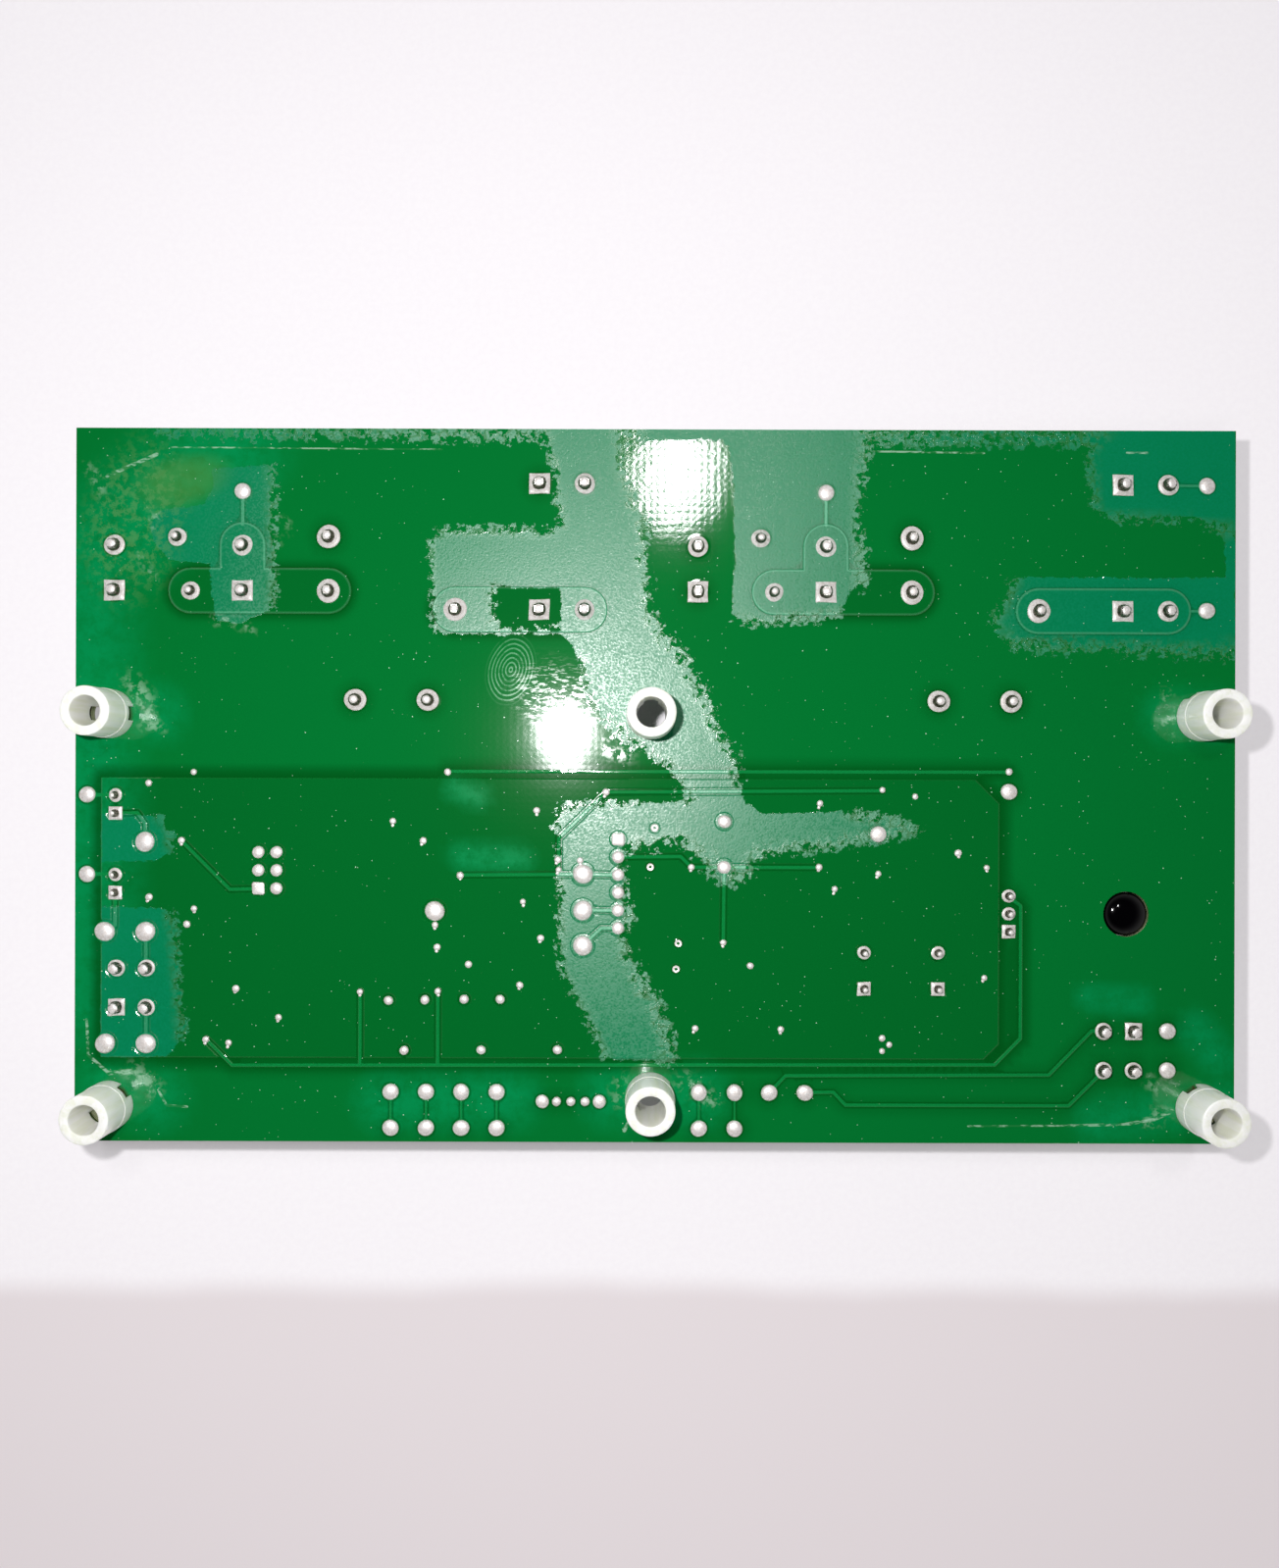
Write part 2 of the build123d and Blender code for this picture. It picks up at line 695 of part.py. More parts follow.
def solder_cones(name, joints, height):
    """Cones of solder that stand on their pads and close round their leads.

    Each joint gives its place, level, pad radius and lead section, and whether its pad is square.
    A wire's section is its radius alone, and a flat or square lead's is its two sides.
    """
    with BuildPart() as cones:
        for point, base, pad_radius, section, square_pad in joints:
            lead_reach = section[0] if len(section) == 1 else hypot(*section) / 2
            crown = lead_reach + cone_rim
            edge = pad_radius if square_pad else pad_radius * cos(pi / wire_sides)
            with BuildSketch(Plane.XY.offset(base)):
                with Locations(point):
                    if square_pad:
                        Rectangle(2 * pad_radius, 2 * pad_radius)
                    else:
                        RegularPolygon(pad_radius, wire_sides)
            extrude(amount=height, taper=degrees(atan((edge - crown) / height)))
            with BuildSketch(Plane.XY.offset(base)):
                with Locations(point):
                    if len(section) == 1:
                        RegularPolygon(section[0], wire_sides)
                    else:
                        Rectangle(*section)
            extrude(amount=height, mode=Mode.SUBTRACT)
    finish(cones, name)


def solder_domes(name, points_and_radii):
    """Low domes of solder on pads that no lead passes."""
    with BuildPart() as domes:
        for point, radius in points_and_radii:
            inset = radius * (1 - dome_crown) * cos(pi / dome_sides)
            with BuildSketch(Plane.XY.offset(solder_face)):
                with Locations(point):
                    RegularPolygon(radius, dome_sides)
            extrude(amount=dome_height, taper=degrees(atan(inset / dome_height)))
    finish(domes, name)


# Solder joints of the leads
varistor_section = (varistor_lead_radius,)
capacitor_section = (capacitor_lead_radius,)
contact_section = (contact_pin_thickness, contact_pin_width)
coil_section = (coil_pin_size, coil_pin_size)
lamp_section = (lamp_lead, lamp_lead)
receiver_section = (receiver_lead, receiver_lead)
connector_section = (connector_pin, connector_pin)
relay_joints = []
varistor_joints = []
for side in channel_centres:
    near, far, load = relay_contacts[side]
    relay_joints += [(point, island_face, contact_pad, contact_section, False) for point in (near, load)]
    relay_joints += [(far, solder_face, contact_pad, contact_section, False)]
    relay_joints += [(point, solder_face, coil_pad, coil_section, False) for point in relay_coils[side]]
    away, feed = varistor_leads[side]
    varistor_joints += [(away, solder_face, varistor_pad, varistor_section, False)]
    varistor_joints += [(feed, island_face, varistor_pad, varistor_section, False)]
terminal_joints = []
for (side, number), (first_leg, second_leg) in terminal_legs.items():
    section = (blade_thickness, leg_width) if number in upright_terminals else (leg_width, blade_thickness)
    level = island_face if number in island_terminals else solder_face
    terminal_joints += [(first_leg, level, terminal_pad, section, True)]
    terminal_joints += [(second_leg, level, terminal_pad, section, False)]
solder_cones("relay_solder", relay_joints, cone_height)
solder_cones("varistor_solder", varistor_joints, cone_height)
solder_cones("terminal_solder", terminal_joints, cone_height)
connector_joints = [
    (point, solder_face, connector_pad, connector_section, point == points[square_pin])
    for (name, points), square_pin in zip(connector_pins.items(), connector_square_pins)
    for point in points
]
lamp_joints = [
    (point, solder_face, small_pad, lamp_section, order % 2 == 0) for order, point in enumerate(lamp_leads)
]
receiver_joints = [
    (point, solder_face, small_pad, receiver_section, order == 0)
    for order, point in enumerate(receiver_leads)
]
capacitor_joints = [
    (point, solder_face, small_pad, capacitor_section, order % 2 == 0)
    for order, point in enumerate(capacitor_leads)
]
solder_cones("connector_solder", connector_joints, small_cone_height)
solder_cones("lamp_solder", lamp_joints, small_cone_height)
solder_cones("receiver_solder", receiver_joints, small_cone_height)
solder_cones("capacitor_solder", capacitor_joints, small_cone_height)

# Solder on the headers that were never fitted, and on the test pads
block_header = [
    (shift(block_header_place, dx * header_pitch / 2, dy * header_pitch), header_pad)
    for dx in (-1, 1)
    for dy in (-1, 0, 1)
]
row_middle = (row_header_count - 1) / 2
row_header = [
    (shift(row_header_place, 0, (step - row_middle) * row_header_pitch), header_pad)
    for step in range(row_header_count)
]
solder_domes("block_header_solder", block_header)
solder_domes("row_header_solder", row_header)
solder_domes("large_test_pads", [(place, large_test_pad) for place in large_test_places])
solder_domes("test_pads", [(place, test_pad) for place in test_places])
solder_domes(
    "small_test_pads",
    [(place, medium_test_pad) for place in medium_test_places]
    + [(place, small_test_pad) for place in small_test_places],
)


def chips(name, places, length, width, height):
    """Small blocks that sit against the component side."""
    with BuildPart() as blocks:
        with BuildSketch(down_from(component_face)):
            with Locations(*[below(place) for place in places]):
                Rectangle(length, width)
        extrude(amount=height)
    finish(blocks, name)


# Microcontroller in a small-outline package: moulded body and gull-wing leads
body_face = component_face - controller_stand
with BuildPart() as controller_body:
    with BuildSketch(down_from(body_face)):
        with Locations(below(controller_place)):
            Rectangle(controller_length, controller_width)
    extrude(amount=controller_height)
    chamfer(controller_body.faces().sort_by(Axis.Z)[0].edges(), controller_lead_thickness)
finish(controller_body, "controller_body")
with BuildPart() as controller_leads:
    first = controller_place[0] - (controller_lead_count - 1) * controller_lead_pitch / 2
    wall = controller_place[1] + controller_width / 2
    foot = component_face - controller_lead_thickness
    knee = component_face - controller_lead_rise
    knee_reach = controller_lead_reach / 3
    for step in range(controller_lead_count):
        lead_x = first + step * controller_lead_pitch - controller_lead_width / 2
        with BuildSketch(Plane.YZ.offset(lead_x)):
            with BuildLine():
                Polyline(
                    (wall, knee),
                    (wall + knee_reach, knee),
                    (wall + knee_reach, component_face),
                    (wall + controller_lead_reach, component_face),
                    (wall + controller_lead_reach, foot),
                    (wall + knee_reach + controller_lead_thickness, foot),
                    (wall + knee_reach + controller_lead_thickness, knee - controller_lead_thickness),
                    (wall, knee - controller_lead_thickness),
                    close=True,
                )
            make_face()
        extrude(amount=controller_lead_width)
    mirror(about=Plane.XZ.offset(-controller_place[1]))
finish(controller_leads, "controller_leads")

# Crystal, regulator, relay drivers, diodes and chip parts
chips("crystal", [crystal_place], crystal_length, crystal_width, crystal_height)
with BuildPart() as regulator:
    with BuildSketch(down_from(component_face)):
        with Locations(below(regulator_place)):
            Rectangle(regulator_length, regulator_width)
    extrude(amount=regulator_height)
finish(regulator, "regulator_body")
tab_middle = regulator_place[1] + regulator_width / 2 + regulator_tab_reach / 2
tab_places = [(regulator_place[0], tab_middle)]
chips(
    "regulator_tab", tab_places, regulator_tab_width, regulator_tab_reach, regulator_tab_thickness
)
chips("relay_drivers", driver_places, driver_length, driver_width, driver_height)
driver_pin_rows = [
    shift(place, dx, dy * (driver_width + driver_pin_reach) / 2)
    for place in driver_places
    for dx, dy in ((-driver_length / 3, -1), (driver_length / 3, -1), (0, 1))
]
chips(
    "relay_driver_pins", driver_pin_rows, driver_pin_width, driver_pin_reach, driver_pin_thickness
)
chips("diodes", diode_places, diode_length, diode_width, diode_height)
chips("chip_resistors", chip_resistor_places, *chip_resistor_size)
chips("chip_capacitors", chip_capacitor_places, *chip_capacitor_size)
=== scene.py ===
"""Looks of a control board that lies solder side up on its parts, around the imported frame.

Lengths inside the classes are in millimetres, as on a drawing, and become metres in the meshes.
FACE is the level of the board's bare solder side, FAR a distance beyond anything on the board, and a Stretch
is a straight line's two ends with how far it reaches to each side.
"""
from __future__ import annotations

import json
import logging
import math
import random
from collections.abc import Callable, Iterable, Sequence
from dataclasses import dataclass, field
from enum import Enum
from functools import reduce

import bpy
import numpy as np
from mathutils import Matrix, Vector
from mathutils.geometry import delaunay_2d_cdt

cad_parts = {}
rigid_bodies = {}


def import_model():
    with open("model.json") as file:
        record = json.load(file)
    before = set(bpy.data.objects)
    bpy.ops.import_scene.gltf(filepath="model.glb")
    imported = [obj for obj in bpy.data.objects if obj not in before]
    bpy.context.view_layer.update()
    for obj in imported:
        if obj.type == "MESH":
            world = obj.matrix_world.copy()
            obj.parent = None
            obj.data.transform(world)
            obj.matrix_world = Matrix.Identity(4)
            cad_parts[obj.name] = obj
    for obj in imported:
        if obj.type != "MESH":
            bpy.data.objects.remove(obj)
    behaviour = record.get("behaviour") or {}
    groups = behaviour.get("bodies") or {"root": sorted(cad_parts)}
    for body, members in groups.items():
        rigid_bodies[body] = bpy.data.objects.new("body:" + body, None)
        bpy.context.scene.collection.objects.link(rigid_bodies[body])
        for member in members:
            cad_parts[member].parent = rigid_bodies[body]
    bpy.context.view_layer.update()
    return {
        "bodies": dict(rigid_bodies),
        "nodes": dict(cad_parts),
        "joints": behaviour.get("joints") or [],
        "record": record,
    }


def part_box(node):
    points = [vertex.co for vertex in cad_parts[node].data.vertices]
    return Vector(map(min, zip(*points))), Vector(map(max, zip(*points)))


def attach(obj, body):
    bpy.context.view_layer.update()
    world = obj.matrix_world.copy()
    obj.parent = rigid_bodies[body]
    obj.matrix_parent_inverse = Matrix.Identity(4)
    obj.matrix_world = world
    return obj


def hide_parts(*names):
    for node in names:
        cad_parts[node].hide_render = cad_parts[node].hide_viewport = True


LOG = logging.getLogger("control_board")
MM = 0.001
FACE = 22.0
FAR = 1e9
Point = tuple[float, float]
Place = tuple[float, float, float]
Colour = tuple[float, float, float]
Stretch = tuple[Point, Point, float]
Loop = Sequence[Point]
Values = np.ndarray
Socket = bpy.types.NodeSocket


class PadShape(Enum):
    """Outline of a soldered pad."""

    ROUND = 0.0
    SQUARE = 1.0


class Feel(Enum):
    """How sharply a surface reflects, as a roughness."""

    POLISHED = 0.08
    GLOSSY = 0.2
    SATIN = 0.38
    MATT = 0.6


def linear(red: float, green: float, blue: float) -> tuple[float, float, float, float]:
    """Turns a screen colour of 0 to 255 into the linear colour that shaders take.

    Args:
        red, green, blue: the colour as a screen shows it.

    Returns:
        The linear colour with full alpha.
    """
    channels = []
    for value in (red, green, blue):
        share = value / 255
        channels.append(share / 12.92 if share <= 0.04045 else ((share + 0.055) / 1.055) ** 2.4)
    return (channels[0], channels[1], channels[2], 1.0)


class NodeBench:
    """Lays out the nodes of one material, or of the world."""

    def __init__(self, owner: bpy.types.Material | bpy.types.World, kind: str = "Material") -> None:
        """Empties the owner's nodes.

        Args:
            owner: the material or the world.
            kind: which of the two it is, as in the output node's name.
        """
        self.owner = owner
        owner.use_nodes = True
        self.tree = owner.node_tree
        self.tree.nodes.clear()
        self.output = self.tree.nodes.new(f"ShaderNodeOutput{kind}")
        self.coordinates = self.tree.nodes.new("ShaderNodeTexCoord")

    def node(self, kind: str, feeds: dict[str | int, object] | None = None,
             **settings: object) -> bpy.types.Node:
        """Adds a node, sets its properties and feeds its inputs.

        Args:
            kind: the node's type name, without its first words.
            feeds: a constant or a socket for each input that gets one.
            settings: property values by name.

        Returns:
            The new node.
        """
        made = self.tree.nodes.new(f"ShaderNode{kind}")
        for key, value in settings.items():
            setattr(made, key, value)
        for key, value in (feeds or {}).items():
            if isinstance(value, Socket):
                self.tree.links.new(value, made.inputs[key])
            else:
                made.inputs[key].default_value = value
        return made

    def end(self, shader: bpy.types.Node) -> None:
        """Makes a shader the last one."""
        self.tree.links.new(shader.outputs[0], self.output.inputs[0])

    def place(self) -> Socket:
        """The surface point in the object's own frame, in metres."""
        return self.coordinates.outputs["Object"]

    def math(self, operation: str, *values: object) -> Socket:
        """Does one arithmetic step.

        Args:
            operation: the step's name, such as ADD.
            values: one to three numbers or sockets.

        Returns:
            The result's socket.
        """
        return self.node("Math", dict(enumerate(values)), operation=operation).outputs[0]

    def times(self, *values: object) -> Socket:
        """The product of some numbers or sockets."""
        return reduce(lambda first, second: self.math("MULTIPLY", first, second), values)

    def plus(self, *values: object) -> Socket:
        """The sum of some numbers or sockets."""
        return reduce(lambda first, second: self.math("ADD", first, second), values)

    def most(self, *values: object) -> Socket:
        """The greatest of some numbers or sockets."""
        return reduce(lambda first, second: self.math("MAXIMUM", first, second), values)

    def ramp(self, value: object, low: float, high: float, start: float = 0.0, end: float = 1.0) -> Socket:
        """Maps a value smoothly from one range to another.

        Args:
            value: the number or socket to map.
            low, high: the range it comes in.
            start, end: the range it leaves in.

        Returns:
            The mapped value's socket.
        """
        feeds = dict(enumerate((value, low, high, start, end)))
        return self.node("MapRange", feeds, interpolation_type="SMOOTHSTEP").outputs[0]

    def noise(self, size: float, detail: float = 3.0, roughness: float = 0.55,
              stretch: Place = (1.0, 1.0, 1.0)) -> Socket:
        """Cloudy noise.

        Args:
            size: the size of its largest blots in millimetres.
            detail: how many finer layers it has.
            roughness: how strong the finer layers are.
            stretch: scale along each axis.

        Returns:
            The noise value's socket, about 0.5 on average.
        """
        mapping = self.node("Mapping", {"Vector": self.place(), "Scale": stretch})
        return self.node("TexNoise", {
            "Vector": mapping.outputs[0], "Scale": 1.0 / (size * MM), "Detail": detail,
            "Roughness": roughness}).outputs[0]

    def specks(self, size: float, reach: float, share: float = 0.0) -> Socket:
        """Small round specks, one in each cell of a scattered grid.

        Args:
            size: the cells' size in millimetres.
            reach: the specks' radius as a share of a cell.
            share: from 0, a speck in every cell, to 1, none.

        Returns:
            1 in a speck and 0 elsewhere.
        """
        feeds = {"Vector": self.place(), "Scale": 1.0 / (size * MM)}
        made = self.node("TexVoronoi", feeds, feature="F1", voronoi_dimensions="3D")
        near = self.ramp(made.outputs["Distance"], reach * 0.6, reach, 1.0, 0.0)
        split = self.node("SeparateColor", {0: made.outputs["Color"]})
        return self.times(near, self.math("GREATER_THAN", split.outputs[0], share))

    def blend(self, share: object, first: object, second: object) -> Socket:
        """Mixes two colours.

        Args:
            share: how much of the second colour there is.
            first, second: colours or sockets.

        Returns:
            The mixed colour's socket.
        """
        return self.node("Mix", {0: share, 6: first, 7: second}, data_type="RGBA").outputs[2]

    def coats(self, colour: Socket, *coats: tuple[object, float, Colour]) -> Socket:
        """Lays tints over a colour, one after another.

        Args:
            colour: the colour below.
            coats: where each tint lies, how strongly, and the tint as a screen shows it.

        Returns:
            The colour's socket.
        """
        for where, share, tint in coats:
            colour = self.blend(self.times(where, share), colour, linear(*tint))
        return colour

    def attribute(self, name: str) -> Socket:
        """A value that the mesh carries on its points."""
        return self.node("Attribute", attribute_name=name).outputs["Fac"]

    def around(self, place: Point, radii: Point, turn: float, depth: float) -> tuple[Socket, Socket]:
        """Coordinates that run from 0 at a place on the board's face to 1 at an ellipse round it.

        Args:
            place: the ellipse's middle.
            radii: its two radii.
            turn: how far it is turned, in degrees.
            depth: the distance upwards that counts as 1.

        Returns:
            The coordinates, and how far out they are.
        """
        mapping = self.node("Mapping", {
            "Vector": self.place(), "Location": (place[0] * MM, place[1] * MM, FACE * MM),
            "Rotation": (0.0, 0.0, math.radians(turn)), "Scale": (radii[0] * MM, radii[1] * MM, depth * MM)},
            vector_type="TEXTURE")
        length = self.node("VectorMath", {0: mapping.outputs[0]}, operation="LENGTH")
        return mapping.outputs[0], length.outputs["Value"]

    def bump(self, height: Socket, depth: float, strength: float = 1.0,
             normal: Socket | None = None) -> Socket:
        """Fine relief.

        Args:
            height: the height's socket, 0 to 1.
            depth: what a height of 1 means in millimetres.
            strength: how much of the relief shows.
            normal: a normal that already has coarser relief.

        Returns:
            The new normal's socket.
        """
        feeds = {"Strength": strength, "Distance": depth * MM, "Height": height}
        if normal is not None:
            feeds["Normal"] = normal
        return self.node("Bump", feeds).outputs[0]

    def surface(self, **values: object) -> bpy.types.Material:
        """Ends the material with one principled shader.

        Args:
            values: socket names, with spaces as underscores, and their values or sockets.

        Returns:
            The finished material.
        """
        self.end(self.node("BsdfPrincipled", {key.replace("_", " "): value for key, value in values.items()}))
        return self.owner


@dataclass(frozen=True)
class SolderMask:
    """Glossy green solder mask with flux residue, a fingerprint, specks and scuffs; painted highlights lie on
    island edges, residue fringes and specks, and painted shade in a ring under each standoff's foot.
    """

    name: str = "solder_mask"
    deep: Colour = (2, 98, 36)
    outer: Colour = (2, 108, 43)
    hazed: Colour = (3, 130, 70)
    edge: Colour = (0, 74, 18)
    line: Colour = (12, 128, 62)
    residue: Colour = (3, 124, 82)
    # light green painted highlight along the raised islands' edges, also laid along tracks under the residue
    rim: Colour = (120, 196, 158)
    # pale colour for dried crust, salt and scuffs, and for painted glints on residue fringes and specks
    crust_and_glint: Colour = (206, 238, 216)
    stain: Colour = (74, 132, 58)
    mottle: Colour = (104, 150, 92)
    # dark brown painted shade for the ring under each standoff's foot, seen through its windows
    laminate: Colour = (52, 38, 20)
    ridge: Colour = (120, 200, 150)
    gloss: float = 0.055
    residue_roughness: float = 0.345
    roughness_spread: float = 0.09
    relief: float = 0.018
    fringe_grain: float = 1.3
    plain_swing: float = 1.5
    frayed_swing: float = 13.0
    crack_spacing: float = 1.5
    cloud_grain: float = 2.2
    drift_grain: float = 13.0
    fine_grain: float = 0.3
    thread_scale: float = 330.0
    fingerprint: Point = (-20.3, 16.2)
    fingerprint_stretch: Point = (1.0, 1.45)
    fingerprint_turn: float = -14.0
    ridge_scale: float = 0.68
    stain_place: Point = (-66.5, 42.5)
    stain_radii: Point = (8.5, 4.4)
    mottle_place: Point = (-73.0, 37.0)
    mottle_radii: Point = (9.0, 15.0)
    glare: Point = (2.5, 44.0)
    glare_radii: Point = (13.0, 11.0)
    flow: Point = (-8.0, 12.0)
    flow_radius: float = 76.0
    smear: Point = (-14.0, 13.0)
    smear_radii: Point = (9.0, 6.5)

    def mask_of(self, bench: NodeBench) -> tuple[Socket, Socket, Socket]:
        """Finds where the residue lies: crisp in places, elsewhere with edges that branch like frost.

        Args:
            bench: the material's nodes.

        Returns:
            How covered the mask is, the same without cracks, and where a frayed edge has dried thick, which
            also gets a pale painted glint.
        """
        fray = bench.attribute("fray")
        ragged = bench.math("SUBTRACT", bench.noise(self.fringe_grain, detail=4.0, roughness=0.76), 0.5)
        swing = bench.plus(self.plain_swing, bench.times(fray, self.frayed_swing))
        edge = bench.plus(bench.attribute("residue"), bench.times(ragged, swing))
        filled = bench.ramp(edge, -0.05, 0.05)
        feeds = {"Vector": bench.place(), "Scale": 1 / (self.crack_spacing * MM)}
        cells = bench.node("TexVoronoi", feeds, feature="DISTANCE_TO_EDGE")
        crack = bench.ramp(cells.outputs["Distance"], 0.05, 0.11, 1.0, 0.0)
        rim = bench.times(bench.ramp(edge, 0.6, 2.4, 1.0, 0.0), fray)
        whole = bench.math("SUBTRACT", 1.0, bench.times(crack, rim))
        return bench.times(filled, whole), filled, bench.times(filled, rim)

    def fingerprint_of(self, bench: NodeBench, broken: Socket) -> Socket:
        """Draws the ridges of a fingerprint, as rings pulled out of round.

        Args:
            bench: the material's nodes.
            broken: how well the ridges have printed at each point.

        Returns:
            1 on a ridge and 0 elsewhere.
        """
        place, away = bench.around(self.fingerprint, self.fingerprint_stretch, self.fingerprint_turn, 1.0)
        feeds = {"Vector": place, "Scale": self.ridge_scale, "Distortion": 2.2, "Detail Scale": 0.4}
        rings = bench.node("TexWave", feeds, wave_type="RINGS", rings_direction="Z")
        inside = bench.ramp(away, 2.7, 3.7, 1.0, 0.0)
        return bench.times(bench.ramp(rings.outputs["Fac"], 0.62, 0.85), inside, broken)

    def near(self, bench: NodeBench, place: Point, radii: Point, turn: float = 0.0) -> Socket:
        """Finds what is near a place on the board.

        Args:
            bench: the material's nodes.
            place: the place.
            radii: how far the ellipse round it reaches.
            turn: how far the ellipse is turned, in degrees.

        Returns:
            1 at the place and 0 beyond the ellipse.
        """
        return bench.ramp(bench.around(place, radii, turn, 50.0)[1], 0.35, 1.0, 1.0, 0.0)

    def wave(self, bench: NodeBench, axis: str) -> Socket:
        """Draws the threads of the glass cloth along one axis.

        Args:
            bench: the material's nodes.
            axis: the axis across the threads.

        Returns:
            The threads' height.
        """
        feeds = {"Vector": bench.place(), "Scale": self.thread_scale, "Distortion": 0.6}
        return bench.node("TexWave", feeds, wave_type="BANDS", bands_direction=axis).outputs["Fac"]

    def build(self) -> bpy.types.Material:
        """Makes the material.

        Returns:
            The finished material.
        """
        bench = NodeBench(bpy.data.materials.new(self.name))
        covered, filled, lip = self.mask_of(bench)
        copper, island = bench.attribute("copper"), bench.attribute("island")
        medium = bench.noise(self.cloud_grain, detail=4.0, roughness=0.7)
        coarse = bench.noise(self.drift_grain, detail=2.0)
        fine = bench.noise(self.fine_grain, detail=2.0)
        clouded = bench.times(bench.attribute("haze"), bench.ramp(medium, 0.3, 0.62, 0.45, 1.0))
        close = bench.times(bench.ramp(copper, 0.1, 0.4, 1.0, 0.0), 0.9)
        pooled = bench.times(bench.most(bench.attribute("pool"), close), bench.ramp(copper, 0.0, 0.12))
        traced = bench.ramp(bench.attribute("line"), -0.03, 0.06, 1.0, 0.0)
        moat = bench.times(bench.ramp(island, 0.1, 1.5, 1.0, 0.0), bench.ramp(island, 0.0, 0.1))
        flow = self.near(bench, self.flow, (self.flow_radius, self.flow_radius))
        thick = bench.ramp(flow, 0.0, 0.8, 0.3, 1.0)
        coated = bench.times(
            covered, bench.ramp(pooled, 0.0, 1.0, 0.95, 0.55), bench.ramp(fine, 0.3, 0.7, 0.78, 1.0))
        residue = bench.times(covered, thick)
        stained = bench.times(self.near(bench, self.stain_place, self.stain_radii, 14.0),
                              bench.ramp(coarse, 0.3, 0.56))
        mottled = bench.times(self.near(bench, self.mottle_place, self.mottle_radii, -12.0),
                              bench.ramp(bench.noise(1.3, detail=4.0, roughness=0.75), 0.46, 0.6))
        # painted highlight along the crest of each raised island's edge
        crest_highlight = bench.times(bench.ramp(island, -0.32, -0.12), bench.ramp(island, -0.06, 0.08, 1.0, 0.0),
                            bench.ramp(residue, 0.0, 1.0, 0.1, 0.34))
        # a light line along tracks under the residue: the track's lighter copper, and a painted highlight on
        # its raised top
        drawn = bench.times(traced, residue, 0.45)
        # white specks: dust, and painted glints that stand in for sparkle
        dust = bench.times(bench.specks(0.62, 0.12, 0.8), bench.ramp(coarse, 0.38, 0.56))
        specks = bench.most(dust, bench.specks(2.4, 0.04, 0.3))
        ridges = self.fingerprint_of(bench, bench.ramp(medium, 0.36, 0.5, 0.25, 1.0))
        broken = bench.noise(1.1, detail=2.0, roughness=0.7, stretch=(0.6, 1.6, 1.0))
        scuffed = bench.times(bench.attribute("scuff"), bench.ramp(broken, 0.44, 0.58, 0.05, 1.0))
        salt = bench.times(bench.attribute("salt"), bench.ramp(bench.noise(0.9, detail=4.0), 0.46, 0.62))
        colour = bench.coats(
            bench.blend(bench.ramp(copper, -0.1, 2.2), linear(*self.deep), linear(*self.outer)),
            (clouded, 1.0, self.hazed), (pooled, 0.8, self.edge), (traced, 0.75, self.line),
            # painted glint: the frayed residue fringes tinted pale, more where the residue is thick
            (moat, 0.5, self.edge), (coated, 1.0, self.residue), (bench.times(lip, thick), 0.13, self.crust_and_glint),
            (stained, 0.42, self.stain), (mottled, 0.3, self.mottle),
            # painted highlights: light lines on island crests and tracks, and white specks that are partly
            # painted glints
            (bench.most(crest_highlight, drawn), 1.0, self.rim), (specks, 0.8, self.crust_and_glint),
            (scuffed, 0.36, self.crust_and_glint), (ridges, 0.3, self.ridge),
            # painted shade: a dark brown ring round each standoff's hole
            (bench.attribute("shade_ring"), 1.0, self.laminate), (salt, 0.27, self.crust_and_glint))
        marks = bench.most(specks, scuffed, bench.times(ridges, 0.3), salt)
        grain = bench.ramp(fine, 0.35, 0.65, self.residue_roughness - self.gloss - self.roughness_spread,
                           self.residue_roughness - self.gloss + self.roughness_spread)
        streaked = bench.noise(0.6, detail=2.0, roughness=0.7, stretch=(0.5, 1.8, 1.0))
        smear = bench.times(self.near(bench, self.smear, self.smear_radii, -20.0),
                            bench.ramp(streaked, 0.48, 0.62))
        window = self.near(bench, self.glare, self.glare_radii)
        rough = bench.plus(self.gloss, bench.times(residue, grain), bench.times(marks, 0.15),
                           bench.times(clouded, 0.03), bench.times(smear, 0.07), bench.times(window, 0.05))
        cloth = bench.times(self.wave(bench, "X"), self.wave(bench, "Y"))
        height = bench.plus(
            bench.times(filled, bench.plus(bench.times(fine, 1.3), 0.2)), bench.times(medium, 0.3), lip,
            bench.times(cloth, bench.ramp(window, 0.0, 1.0, 0.05, 0.2)), bench.times(medium, window))
        normal = bench.bump(height, self.relief, 0.8)
        return bench.surface(Base_Color=colour, Roughness=rough, Normal=normal, Specular_IOR_Level=0.5)


@dataclass(frozen=True)
class LaminateEdge:
    """Sawn edge of the glass laminate, pale and fibrous."""

    name: str = "laminate_edge"
    pale: Colour = (188, 194, 156)
    dark: Colour = (86, 100, 52)

    def build(self) -> bpy.types.Material:
        """Makes the material.

        Returns:
            The finished material.
        """
        bench = NodeBench(bpy.data.materials.new(self.name))
        layers = bench.noise(0.7, detail=5.0, roughness=0.7, stretch=(0.15, 0.15, 3.0))
        colour = bench.blend(bench.ramp(layers, 0.38, 0.62), linear(*self.dark), linear(*self.pale))
        normal = bench.bump(layers, 0.06, 0.7)
        return bench.surface(Base_Color=colour, Roughness=Feel.MATT.value, Normal=normal)


@dataclass(frozen=True)
class Metal:
    """A bare or tinned metal, slightly mottled, with fine marks."""

    name: str
    colour: Colour
    tarnish: Colour
    roughness: float
    grain: float = 0.5
    relief: float = 0.02
    stretch: Place = (1.0, 1.0, 1.0)
    metallic: float = 1.0

    def build(self) -> bpy.types.Material:
        """Makes the material.

        Returns:
            The finished material.
        """
        bench = NodeBench(bpy.data.materials.new(self.name))
        blots = bench.noise(self.grain, detail=4.0, roughness=0.65, stretch=self.stretch)
        colour = bench.blend(bench.ramp(blots, 0.36, 0.66), linear(*self.tarnish), linear(*self.colour))
        rough = bench.ramp(blots, 0.3, 0.7, self.roughness * 1.35, self.roughness * 0.75)
        normal = bench.bump(blots, self.relief, 0.6)
        return bench.surface(Base_Color=colour, Metallic=self.metallic, Roughness=rough, Normal=normal)


